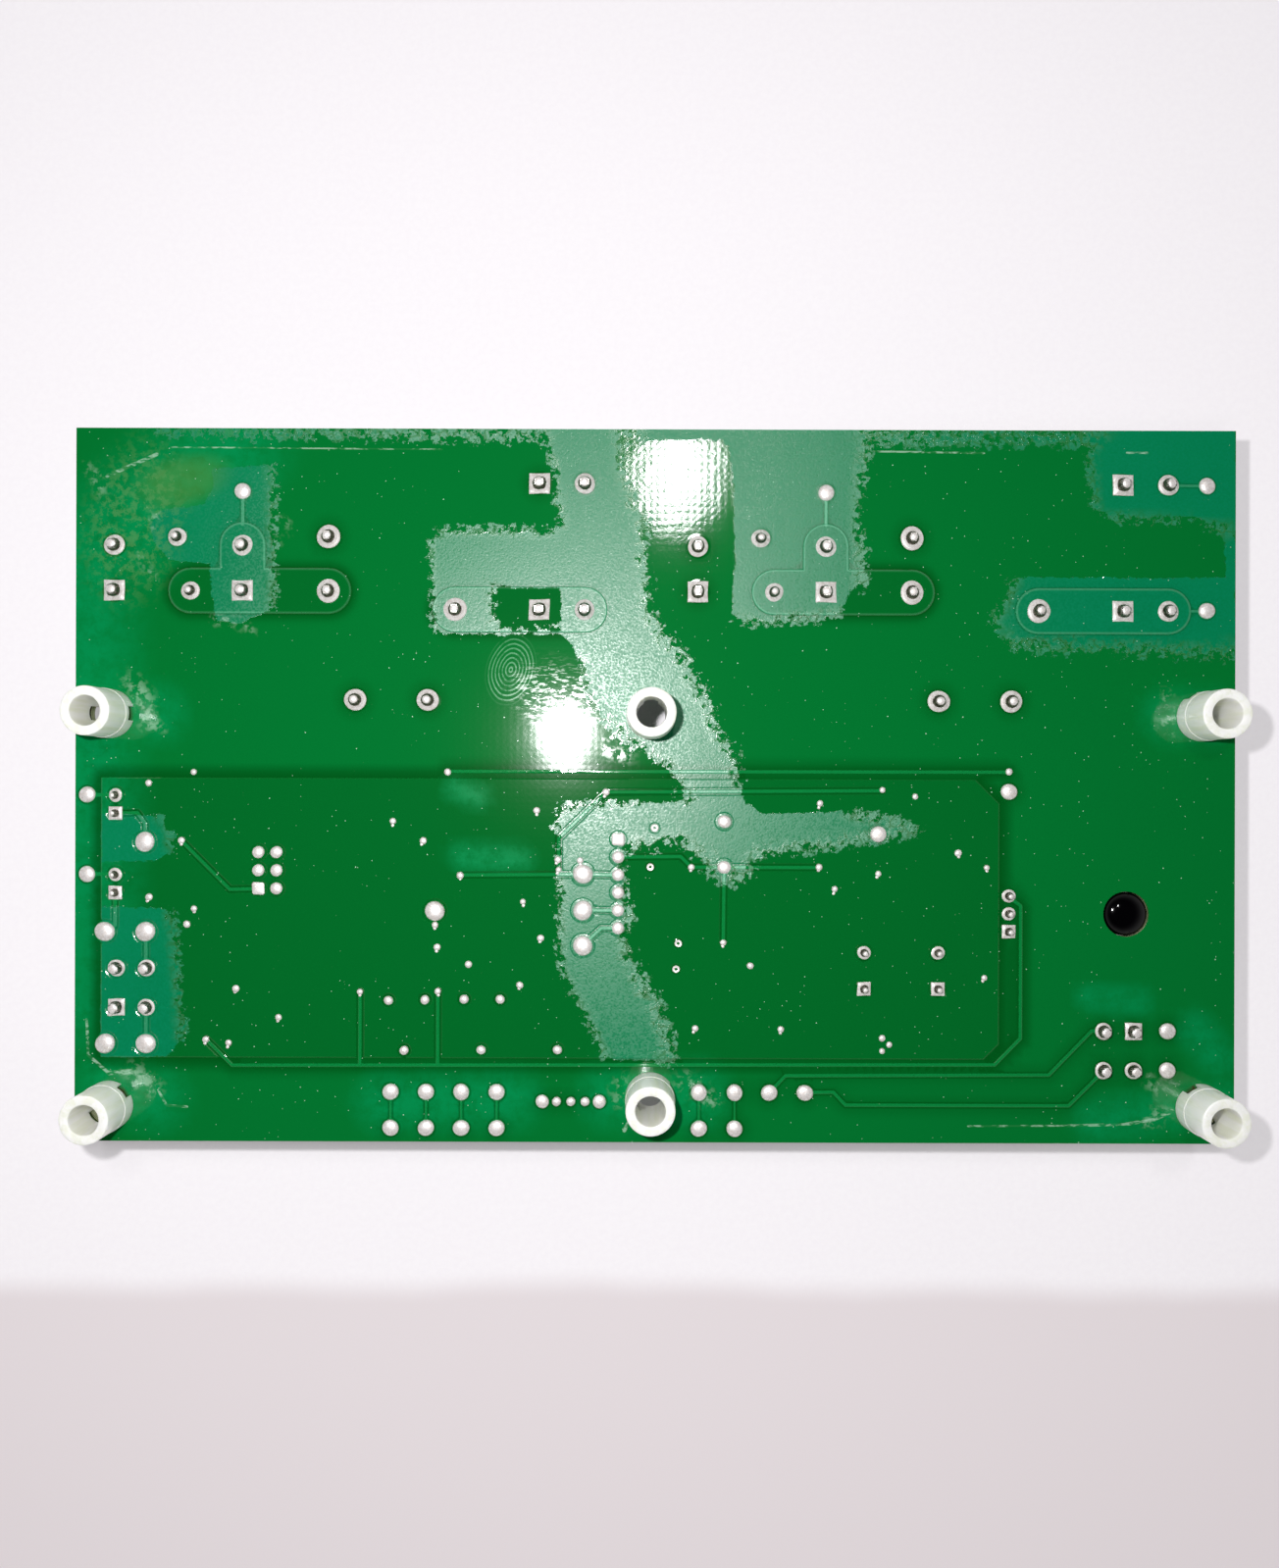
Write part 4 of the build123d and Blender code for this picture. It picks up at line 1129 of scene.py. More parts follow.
@dataclass
class Residue:
    """Where flux has dried on the solder side, and where the mask is hazy or scuffed."""

    patches: tuple[tuple[Point, ...], ...] = (
        ((-16.0, 50.6), (-14.9, 46.3), (-13.3, 42.4), (-14.0, 39.3), (-13.3, 36.8), (-15.5, 35.3),
         (-18.0, 36.0), (-22.6, 36.6), (-27.1, 36.5), (-30.3, 35.9), (-31.5, 34.0), (-31.6, 28.1),
         (-31.1, 21.3), (-23.7, 21.2), (-13.3, 21.2), (-12.0, 20.0), (-10.7, 18.0), (-10.2, 15.5),
         (-9.8, 13.0), (-8.1, 9.4), (-6.1, 7.4), (-2.8, 5.6), (1.0, 3.1), (2.5, 1.5), (4.3, -0.4),
         (3.0, -2.2), (-2.5, -2.4), (-5.9, -2.3), (-9.2, -1.8), (-13.1, -2.8), (-14.0, -5.0),
         (-13.5, -7.4), (-13.2, -11.2), (-13.6, -18.4), (-13.5, -21.4), (-13.3, -25.2), (-11.4, -28.5),
         (-9.4, -32.7), (-7.7, -36.2), (-6.6, -38.4), (3.0, -38.7), (2.2, -34.0), (0.0, -28.8),
         (-2.1, -26.7), (-2.9, -24.4), (-3.6, -23.2), (-4.4, -20.7), (-3.0, -18.3), (-4.1, -16.0),
         (-3.9, -13.5), (-4.7, -11.2), (-4.5, -8.2), (-2.9, -8.8), (0.0, -8.1), (1.8, -7.5), (3.6, -7.2),
         (4.5, -8.4), (6.1, -9.9), (7.2, -11.7), (8.4, -13.5), (10.5, -14.4), (12.0, -13.5),
         (13.2, -11.7), (14.4, -10.2), (18.0, -9.3), (22.4, -9.2), (27.0, -8.8), (31.9, -7.9),
         (35.4, -7.2), (37.1, -5.8), (35.4, -4.5), (31.9, -3.8), (27.0, -3.5), (20.9, -3.8), (15.0, -3.8),
         (12.9, -2.5), (12.0, -0.7), (11.6, 1.4), (11.6, 3.9), (9.1, 7.1), (8.0, 10.9), (6.2, 14.2),
         (4.8, 16.2), (4.1, 19.0), (1.4, 21.0), (-0.8, 24.6), (-1.1, 28.2), (-1.5, 33.0), (-1.5, 37.5),
         (-4.0, 42.0), (-5.6, 45.6), (-5.0, 49.1), (-3.9, 50.6)),
        ((9.2, 50.6), (10.2, 47.5), (10.9, 42.1), (11.1, 31.6), (10.7, 24.6), (12.2, 22.8), (15.0, 22.4),
         (22.3, 23.0), (25.9, 23.8), (27.2, 27.4), (29.7, 28.5), (29.2, 33.5), (28.1, 36.2), (28.3, 41.7),
         (29.7, 45.9), (30.3, 50.6)),
        ((-62.2, 44.3), (-53.6, 44.9), (-53.6, 32.2), (-53.2, 27.5), (-53.6, 24.9), (-58.0, 22.6),
         (-61.7, 23.2), (-62.3, 27.5), (-62.6, 31.0), (-68.2, 31.5), (-70.5, 34.2), (-71.0, 36.6),
         (-69.2, 38.5), (-63.5, 39.3), (-62.2, 40.9)),
        ((60.2, 50.6), (60.5, 43.8), (61.5, 38.8), (64.3, 37.6), (75.0, 37.9), (79.5, 36.0), (80.0, 29.5),
         (75.8, 29.3), (51.7, 29.4), (50.0, 28.9), (49.4, 25.6), (47.1, 23.4), (48.5, 21.1), (50.8, 19.3),
         (81.3, 18.4), (81.3, 50.6)),
        ((-77.6, -4.2), (-69.6, -4.4), (-67.4, -6.0), (-67.6, -9.4), (-70.4, -10.8), (-77.6, -10.9)),
        ((-77.6, -17.0), (-67.9, -17.5), (-67.0, -20.3), (-66.6, -28.6), (-65.9, -34.9), (-68.2, -38.2),
         (-77.6, -38.2)))
    bare: tuple[Point, ...] = ((-22.7, 27.8), (-13.3, 27.8), (-13.3, 21.7), (-20.4, 21.6), (-22.7, 23.7))
    strip: tuple[Stretch, ...] = (
        ((-70.0, 49.6), (-16.0, 49.2), 0.7), ((-4.0, 49.4), (10.0, 49.2), 0.8),
        ((30.0, 49.0), (62.0, 48.9), 1.2))
    hazes: tuple[Stretch, ...] = (
        ((-80.0, 30.0), (-80.0, -30.0), 8.0), ((-78.0, 33.0), (-60.0, 48.0), 9.0),
        ((-38.0, -44.5), (-20.0, -44.0), 4.5), ((-6.0, -43.5), (6.0, -43.5), 5.0),
        ((-27.0, -10.0), (-19.0, -10.4), 2.2), ((-28.0, -0.5), (-25.0, -1.5), 2.0),
        ((62.0, -47.0), (80.0, -44.0), 3.5), ((61.0, -29.5), (68.0, -30.0), 2.2),
        ((76.0, -34.0), (79.0, -38.0), 3.0), ((-77.0, -42.0), (-70.0, -44.0), 5.0),
        ((-78.0, 10.0), (-70.0, 10.0), 4.5), ((78.0, 10.0), (72.0, 10.0), 4.0))
    scuffs: tuple[Stretch, ...] = (
        ((-68.0, 47.3), (-30.0, 47.1), 0.07), ((30.5, 47.0), (46.0, 46.8), 0.09),
        ((66.0, 46.9), (69.0, 46.9), 0.1), ((-77.0, 43.2), (-70.0, 46.3), 0.18),
        ((-79.6, -33.0), (-79.4, -38.0), 0.14), ((-79.4, -38.0), (-76.5, -40.5), 0.16),
        ((-76.5, -40.5), (-73.0, -40.3), 0.25), ((-69.5, -43.0), (-68.4, -45.0), 0.12),
        ((-68.4, -45.0), (-65.5, -45.2), 0.12), ((44.0, -47.6), (58.0, -47.5), 0.09),
        ((58.0, -47.5), (66.0, -47.3), 0.13), ((66.0, -47.3), (70.0, -46.6), 0.16),
        ((70.0, -46.6), (73.0, -45.2), 0.2), ((0.5, -45.8), (2.0, -48.0), 0.16),
        ((-3.3, -46.6), (-4.2, -48.4), 0.18))
    salts: tuple[Stretch, ...] = (
        ((-73.4, 14.4), (-71.6, 12.0), 1.3), ((-71.6, 12.0), (-71.0, 8.6), 1.3),
        ((-71.0, 8.4), (-69.9, 8.2), 0.9), ((-72.8, -40.6), (-70.6, -42.4), 1.5),
        ((69.6, -41.2), (71.0, -42.4), 0.9), ((71.4, -45.6), (69.2, -47.0), 0.8),
        ((72.0, 12.4), (71.6, 8.4), 1.0), ((4.2, -41.6), (8.0, -44.0), 1.3),
        ((-4.8, -41.4), (-5.0, -44.6), 0.9), ((-7.0, 5.2), (-3.8, 3.8), 0.8),
        ((-72.2, 31.8), (-70.6, 29.6), 0.5), ((-70.8, 36.0), (-70.0, 38.4), 0.5),
        ((-79.0, 44.0), (-77.6, 41.2), 0.8), ((-53.0, 34.8), (-52.0, 36.6), 0.5),
        ((-62.0, 23.4), (-57.0, 22.2), 0.6))
    frays: tuple[Stretch, ...] = (
        ((-4.0, 50.0), (-1.3, 33.0), 2.6), ((-1.3, 33.0), (-0.8, 24.6), 2.2),
        ((-0.8, 24.6), (8.0, 10.9), 2.6), ((8.0, 10.9), (11.8, 2.0), 2.8),
        ((-10.5, 17.0), (-9.0, 11.0), 1.4), ((-9.0, 11.0), (-3.0, 6.0), 2.2),
        ((1.0, 3.0), (5.0, -2.0), 2.2), ((-2.5, -9.0), (4.0, -8.5), 2.2),
        ((6.0, -10.0), (14.0, -13.0), 2.8), ((14.0, -9.5), (37.0, -6.0), 1.5),
        ((37.0, -6.0), (28.0, -3.8), 1.6), ((-4.0, -12.0), (-3.5, -24.0), 2.2),
        ((-2.0, -27.0), (3.0, -38.0), 2.8), ((-31.0, 35.5), (-15.0, 36.0), 1.0),
        ((29.0, 28.0), (29.5, 50.0), 1.7), ((11.0, 23.0), (26.0, 24.0), 1.2),
        ((-53.5, 45.0), (-53.5, 25.0), 1.2), ((47.0, 23.0), (50.0, 29.0), 1.5),
        ((50.0, 20.0), (81.0, 18.5), 2.2), ((60.5, 50.0), (61.5, 39.0), 1.3),
        ((64.0, 37.5), (80.0, 36.0), 1.3), ((-67.5, -17.5), (-66.0, -35.0), 1.3),
        ((-70.0, 49.5), (-16.0, 49.0), 1.8), ((30.0, 49.0), (62.0, 49.0), 2.2),
        ((-15.0, 46.0), (-13.5, 37.0), 1.0), ((-14.0, 22.5), (-22.5, 22.0), 0.8),
        ((-22.7, 23.5), (-22.7, 28.0), 0.9), ((-14.0, -4.0), (-13.5, -25.0), 0.9),
        ((-13.3, -26.0), (-7.0, -38.0), 0.9), ((-69.0, -4.5), (-67.5, -9.0), 0.8),
        ((-31.6, 35.0), (-31.3, 22.0), 0.7), ((-14.0, -3.0), (-3.0, -2.4), 0.8))

    def depth(self, x: Values, y: Values) -> Values:
        """Measures how far inside dried flux points are.

        Args:
            x, y: the points.

        Returns:
            The depths, negative outside.
        """
        flux = [polygon_distance(x, y, patch) for patch in self.patches]
        flux += [segment_distance(x, y, start, end) - reach for start, end, reach in self.strip]
        return -np.maximum(np.minimum.reduce(flux), -polygon_distance(x, y, self.bare))

    def nearness(self, x: Values, y: Values, stretches: Sequence[Stretch]) -> Values:
        """Finds how near points are to some straight stretches.

        Args:
            x, y: the points.
            stretches: the ends and the reach of each stretch.

        Returns:
            The nearness of each point, from 0 beyond their reach to 1.
        """
        return np.maximum.reduce([np.clip(1.25 - segment_distance(x, y, start, end) / reach, 0, 1)
                                  for start, end, reach in stretches])

    def scuff(self, x: Values, y: Values) -> Values:
        """Finds how scuffed the mask is.

        Args:
            x, y: the points.

        Returns:
            1 on a scuff and 0 elsewhere.
        """
        return np.maximum.reduce([(segment_distance(x, y, start, end) < reach * 1.2).astype(float)
                                  for start, end, reach in self.scuffs])

    def loops(self) -> list[list[Point]]:
        """Draws the outlines that the mesh follows, so that patches and thin scuffs keep their shape.

        Returns:
            The closed outlines.
        """
        made = [list(patch) for patch in self.patches] + [list(self.bare)]
        for start, end, reach in self.scuffs:
            made += [capsule_loop(start, end, reach, 3), capsule_loop(start, end, reach * 1.7, 3)]
        return made


@dataclass
class Board:
    """The printed circuit board, with its copper in relief under the solder mask."""

    palette: Palette
    artwork: Artwork
    residue: Residue
    standoffs: Standoffs
    low: Place
    high: Place
    pitch: float = 1.25
    standoff_hole: float = 2.65
    window: tuple[Point, float] = ((66.05, -17.8), 3.17)
    hole_points: int = 56
    # how far the painted shade ring reaches beyond each standoff's hole
    shade_ring: float = 0.72
    field_reach: float = 4.0
    crease: float = 9.0

    def holes(self) -> list[tuple[Point, float]]:
        """Lists the places and radii of the standoffs' holes, and last of the receiver's window.

        Returns:
            The holes.
        """
        places = [place for row in self.standoffs.rows.values() for place in row]
        return [((x, y), self.standoff_hole) for x, y, turn in places] + [self.window]

    def shade_rings(self, x: Values, y: Values) -> Values:
        """Finds the ring round each standoff's hole that is painted dark brown as shade under the standoff's
        foot.

        Args:
            x, y: the points.

        Returns:
            1 on bare laminate and 0 elsewhere.
        """
        return np.maximum.reduce([
            (np.hypot(x - place[0], y - place[1]) < radius + self.shade_ring - 0.05).astype(float)
            for place, radius in self.holes()[:-1]])

    def plan(self) -> tuple[Values, list[tuple[int, ...]]]:
        """Cuts the face into triangles that follow every outline.

        Returns:
            The points, and the triangles as point numbers.
        """
        points: list[Point] = []
        edges: list[tuple[int, int]] = []

        def add(loop: Loop) -> None:
            """Adds a closed outline in short steps, held inside the board.

            Args:
                loop: its corners.
            """
            stepped: list[Point] = []
            for here, after in zip(loop, list(loop[1:]) + [loop[0]]):
                parts = max(1, math.ceil(math.dist(here, after) / self.pitch))
                stepped += [tuple(here[axis] + (after[axis] - here[axis]) * step / parts for axis in (0, 1))
                            for step in range(parts)]
            start = len(points)
            points.extend(tuple(min(max(point[axis], self.low[axis]), self.high[axis]) for axis in (0, 1))
                          for point in stepped)
            count = len(stepped)
            edges.extend((start + index, start + (index + 1) % count) for index in range(count))

        corners = [(self.low[0], self.low[1]), (self.high[0], self.low[1]), (self.high[0], self.high[1]),
                   (self.low[0], self.high[1])]
        add(corners)
        holes = self.holes()
        for place, radius in holes:
            add(circle_loop(place, radius, self.hole_points))
            add(circle_loop(place, radius + self.shade_ring, self.hole_points // 2))
        for loop in self.artwork.loops() + self.residue.loops():
            add(loop)
        columns = np.arange(self.low[0] + self.pitch / 2, self.high[0], self.pitch)
        rows = np.arange(self.low[1] + self.pitch / 2, self.high[1], self.pitch)
        points.extend((float(x), float(y)) for x in columns for y in rows)
        result = delaunay_2d_cdt([Vector(point) for point in points], edges, [], 0, 1e-5)
        flat = np.array([tuple(point) for point in result[0]])
        kept = []
        shrink = math.cos(math.pi / self.hole_points)
        for triangle in result[2]:
            middle = flat[list(triangle)].mean(axis=0)
            if all(math.dist(middle, place) > radius * shrink - 0.004 for place, radius in holes):
                kept.append(tuple(triangle))
        return flat, kept

    def build(self) -> bpy.types.Object:
        """Makes the board's mesh.

        Returns:
            The board.
        """
        flat, triangles = self.plan()
        count = len(flat)
        x, y = flat[:, 0], flat[:, 1]
        top = FACE + self.artwork.height(x, y)
        points = [(px * MM, py * MM, pz * MM) for px, py, pz in zip(x, y, top)]
        points += [(px * MM, py * MM, self.low[2] * MM) for px, py in zip(x, y)]
        faces: list[tuple[int, ...]] = []
        sides: dict[tuple[int, int], int] = {}
        for a, b, c in triangles:
            area = (x[b] - x[a]) * (y[c] - y[a]) - (x[c] - x[a]) * (y[b] - y[a])
            if area < 0:
                b, c = c, b
            faces.append((a, b, c))
            for edge in ((a, b), (b, c), (c, a)):
                sides[edge] = sides.get(edge, 0) + 1
        top_faces = len(faces)
        faces += [(a + count, c + count, b + count) for a, b, c in faces]
        rims = [edge for edge in sides if (edge[1], edge[0]) not in sides]
        faces += [(b, a, a + count, b + count) for a, b in rims]
        mesh = bpy.data.meshes.new("board")
        mesh.from_pydata(points, [], faces)
        mesh.materials.append(self.palette["solder_mask"])
        mesh.materials.append(self.palette["laminate_edge"])
        slots = np.zeros(len(faces), np.int32)
        slots[2 * top_faces:] = 1
        mesh.polygons.foreach_set("material_index", slots)
        far = self.field_reach
        for name, values, under in (
                ("copper", self.artwork.distance(x, y), -far), ("line", self.artwork.line(x, y), far),
                ("island", self.artwork.island_distance(x, y), far), ("pool", self.artwork.pool(x, y), 0.0),
                ("shade_ring", self.shade_rings(x, y), 0.0), ("residue", self.residue.depth(x, y), -far),
                ("scuff", self.residue.scuff(x, y), 0.0),
                ("haze", self.residue.nearness(x, y, self.residue.hazes), 0.0),
                ("salt", self.residue.nearness(x, y, self.residue.salts), 0.0),
                ("fray", self.residue.nearness(x, y, self.residue.frays), 0.0)):
            spread = np.concatenate([np.clip(values, -far, far), np.full(count, under)]).astype(np.float32)
            mesh.attributes.new(name, "FLOAT", "POINT").data.foreach_set("value", spread)
        mesh.update()
        mesh.shade_smooth()
        mesh.set_sharp_from_angle(angle=math.radians(self.crease))
        made = bpy.data.objects.new("board", mesh)
        bpy.context.scene.collection.objects.link(made)
        return made


@dataclass
class SolderWork:
    """Every joint, filled pad and via: concave cones round leads, and smooth domes on the rest."""

    palette: Palette
    seed: int = 7
    segments: int = 28
    flank_steps: int = 9
    crown_steps: int = 7
    foot: float = 0.15
    sink: float = 0.06
    coat: float = 0.07
    crease: float = 50.0

    def joint(self, draft: Draft, solid: Solid, lead: float, tip: float, chance: random.Random) -> None:
        """Adds one soldered lead.

        Args:
            draft: where it goes.
            solid: the joint's body in the frame.
            lead: the radius of the lead that stands in it.
            tip: the level of the lead's tip.
            chance: the source of its small differences.
        """
        radius = solid.half_width
        base = solid.low[2] - self.sink
        crown = solid.high[2] - base
        tip_level = tip - base
        square = PadShape.SQUARE.value if solid.square else PadShape.ROUND.value
        neck = lead + self.coat
        rings = [(radius * 0.985, 0.0, square), (radius, 0.09, square),
                 (radius * 0.975, self.foot, square * 0.95)]
        lift = chance.uniform(0.85, 1.05)
        for step in range(1, self.flank_steps):
            share = step / self.flank_steps
            reach = neck + (radius * 0.95 - neck) * (1 - share) ** 1.8
            level = self.foot + (crown * lift - self.foot) * share ** 1.15
            rings.append((reach, level, square * (1 - share) ** 2 * 0.9))
        rings += [
            (neck * 0.98, crown * lift, 0.0), (neck * 0.97, tip_level - 0.24, 0.0),
            (neck * 0.95, tip_level - 0.12, 0.0), (neck * 0.78, tip_level, 0.0),
            (neck * 0.3, tip_level + 0.04, 0.0)]
        phase = chance.uniform(0, 6.28)
        swell = chance.uniform(0.01, 0.035)
        lean = chance.uniform(-0.05, 0.05)

        def wobble(angle: float, ring: int) -> float:
            """How far the joint swells and leans at an angle and a ring."""
            leant = lean * math.sin(3 * angle + phase + ring * 0.3) * 0.4
            return 1 + swell * math.sin(2 * angle + phase) + leant

        # the upper flank and neck take the darker metal, painted shade in the hollow round the lead
        draft.form((solid.centre[0], solid.centre[1], base), rings, self.segments, wobble,
                   second_band=(self.flank_steps - 3, len(rings) - 3))

    def dome(self, draft: Draft, place: Point, base: float, radius: float, height: float, square: float,
             chance: random.Random, segments: int = 24) -> None:
        """Adds one smooth dome of solder with a slightly flattened crown.

        Args:
            draft: where it goes.
            place: its middle.
            base: the level that it stands on.
            radius: its radius at the foot.
            height: how far it rises.
            square: 1 for a square foot, 0 for a round one.
            chance: the source of its small differences.
            segments: points round it.
        """
        rim = 0.03
        rings = [(radius * 0.98, -self.sink, square), (radius, rim, square)]
        for step in range(1, self.crown_steps):
            share = step / self.crown_steps
            angle = share * math.pi / 2
            reach = radius * math.cos(angle) ** 0.75
            rings.append((reach, rim + height * math.sin(angle), square * (1 - share ** 2)))
        rings.append((radius * 0.12, rim + height, 0.0))
        phase = chance.uniform(0, 6.28)
        swell = chance.uniform(0.0, 0.04)

        def wobble(angle: float, ring: int) -> float:
            """How far the dome swells at an angle and a ring."""
            return 1 + swell * math.sin(2 * angle + phase + 0.2 * ring)

        draft.form((place[0], place[1], base), rings, segments, wobble)

    def build(self, frame: dict, artwork: Artwork) -> None:
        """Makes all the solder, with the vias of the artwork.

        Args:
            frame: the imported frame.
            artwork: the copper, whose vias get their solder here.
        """
        nodes = frame["nodes"]
        tip = max(solid.high[2] for solid in solids_of(nodes["left_relay_pins"]))
        leads = {
            "relay_solder": 0.55, "terminal_solder": 0.62, "varistor_solder": 0.42, "connector_solder": 0.66,
            "lamp_solder": 0.3, "receiver_solder": 0.33, "capacitor_solder": 0.32}
        for name, lead in leads.items():
            chance = random.Random(self.seed + len(name))
            draft = Draft()
            for solid in solids_of(nodes[name]):
                self.joint(draft, solid, lead, tip, chance)
            self.finish(draft, name)
        face = min(solid.low[2] for solid in solids_of(nodes["test_pads"]))
        for name, height in (("large_test_pads", 0.62), ("test_pads", 0.5), ("small_test_pads", 0.42),
                             ("block_header_solder", 0.4), ("row_header_solder", 0.4)):
            chance = random.Random(self.seed * 3 + len(name))
            draft = Draft()
            found = solids_of(nodes[name])
            marked = {"block_header_solder": found[0], "row_header_solder": found[-1]}.get(name)
            for solid in found:
                shape = PadShape.SQUARE if solid is marked else PadShape.ROUND
                rise = height * 0.4 if solid is marked else height
                self.dome(draft, solid.centre, face, solid.half_width, rise, shape.value, chance)
            self.finish(draft, name)
        chance = random.Random(self.seed * 5)
        draft = Draft()
        for x, y in artwork.vias:
            radius = artwork.via_radius * chance.uniform(0.8, 1.02)
            self.dome(draft, (x, y), face, radius, 0.3, 0.0, chance, 16)
            if chance.random() < 0.6:
                tail = (x + chance.uniform(-0.25, 0.1), y - chance.uniform(0.42, 0.6))
                self.dome(draft, tail, face, 0.24, 0.12, 0.0, chance, 12)
        ring = [(0.17, -0.5), (artwork.via_radius, -0.5), (artwork.via_radius, 0.05), (0.42, 0.12),
                (0.24, 0.1), (0.17, 0.0)]
        for place in artwork.open_vias:
            draft.tube(place, [(radius, face + level) for radius, level in ring], 20)
        settle(draft.to_object("via_solder", self.palette["solder"]), "solder")

    def finish(self, draft: Draft, node: str) -> None:
        """Turns a draft into the smooth piece that stands for a node.

        Args:
            draft: the points and faces.
            node: the node's name.
        """
        metal, shaded_flanks = self.palette["solder"], self.palette["shaded_flank_and_lead"]
        settle(draft.to_object(f"{node}_smooth", metal, self.crease, shaded_flanks), "solder", node)


@dataclass
class Standoffs:
    """Snap-in tubular standoffs with a split stem and two windows at the foot."""

    palette: Palette
    rows: dict[str, tuple[Place, ...]] = field(default_factory=lambda: {
        "upper_standoffs": ((-76.5, 9.9, 0.0), (-0.6, 9.9, 90.0), (76.5, 9.9, 118.0)),
        "lower_standoffs": ((-76.5, -45.0, 42.0), (-0.6, -43.6, 20.0), (76.5, -45.0, 118.0))})
    top: float = 32.0
    stem: float = 2.55
    outer: float = 3.45
    bore: float = 2.05
    collar: float = 3.3
    window_width: float = 2.0
    window_height: float = 2.2
    segments: int = 72

    def outline(self) -> list[Point]:
        """Draws the wall in section, from the stem's tip outwards and back down the bore.

        Returns:
            Radius and level of each corner.
        """
        barb = FACE - 1.7
        step = FACE + self.collar
        rim = [(0.1, -0.26), (0.13, -0.12), (0.22, -0.03), (0.34, 0.0)]
        mouth = [(0.22, 0.0), (0.1, -0.03), (0.02, -0.12), (0.0, -0.25)]
        return [
            (self.bore, barb - 1.9), (2.2, barb - 1.9), (2.3, barb - 1.8), (2.83, barb - 0.08), (2.8, barb),
            (self.stem, barb), (self.stem, FACE), (self.outer - 0.06, FACE), (self.outer, FACE + 0.06),
            (self.outer, step - 0.05), (self.outer - 0.05, step + 0.02), (self.outer - 0.08, step + 0.06),
            *((self.outer - inward, self.top + level) for inward, level in rim),
            *((self.bore + outward, self.top + level) for outward, level in mouth),
            (self.bore, FACE + 4.0), (self.bore, FACE)]

    def one(self) -> bpy.types.Object:
        """Makes one standoff on the axis, with its windows and its split cut out.

        Returns:
            The standoff, not yet fixed to the part.
        """
        draft = Draft()
        draft.tube((0.0, 0.0), self.outline(), self.segments)
        tube = draft.to_object("standoff_blank", self.palette["standoff_nylon"], 40.0)
        cutter = Draft()
        half, reach = self.window_width / 2, self.outer + 1.0
        floor, roof = FACE - 5.0, FACE + self.window_height
        cutter.points = [(x, y, z) for z in (floor, roof) for x, y in (
            (-reach, -half), (reach, -half), (reach, half), (-reach, half))]
        cutter.faces = [(3, 2, 1, 0), (4, 5, 6, 7), (0, 1, 5, 4), (1, 2, 6, 5), (2, 3, 7, 6), (3, 0, 4, 7)]
        knife = cutter.to_object("window_cutter", self.palette["standoff_nylon"])
        modifier = tube.modifiers.new("windows", "BOOLEAN")
        modifier.operation = "DIFFERENCE"
        modifier.solver = "EXACT"
        modifier.object = knife
        evaluated = tube.evaluated_get(bpy.context.evaluated_depsgraph_get())
        cut = bpy.data.meshes.new_from_object(evaluated)
        tube.modifiers.clear()
        tube.data = cut
        bpy.data.objects.remove(knife)
        return tube

    def build(self) -> None:
        """Makes both rows of standoffs."""
        blank = self.one()
        for node, places in self.rows.items():
            points: list[Place] = []
            faces: list[tuple[int, ...]] = []
            for x, y, turn in places:
                start = len(points)
                cosine, sine = math.cos(math.radians(turn)), math.sin(math.radians(turn))
                for vertex in blank.data.vertices:
                    px, py, pz = vertex.co / MM
                    points.append((x + px * cosine - py * sine, y + px * sine + py * cosine, pz))
                faces += [tuple(start + index for index in polygon.vertices)
                          for polygon in blank.data.polygons]
            made = Draft(points, faces).to_object(f"{node}_moulded", self.palette["standoff_nylon"], 32.0)
            settle(made, "standoff_nylon", node)
        bpy.data.objects.remove(blank)


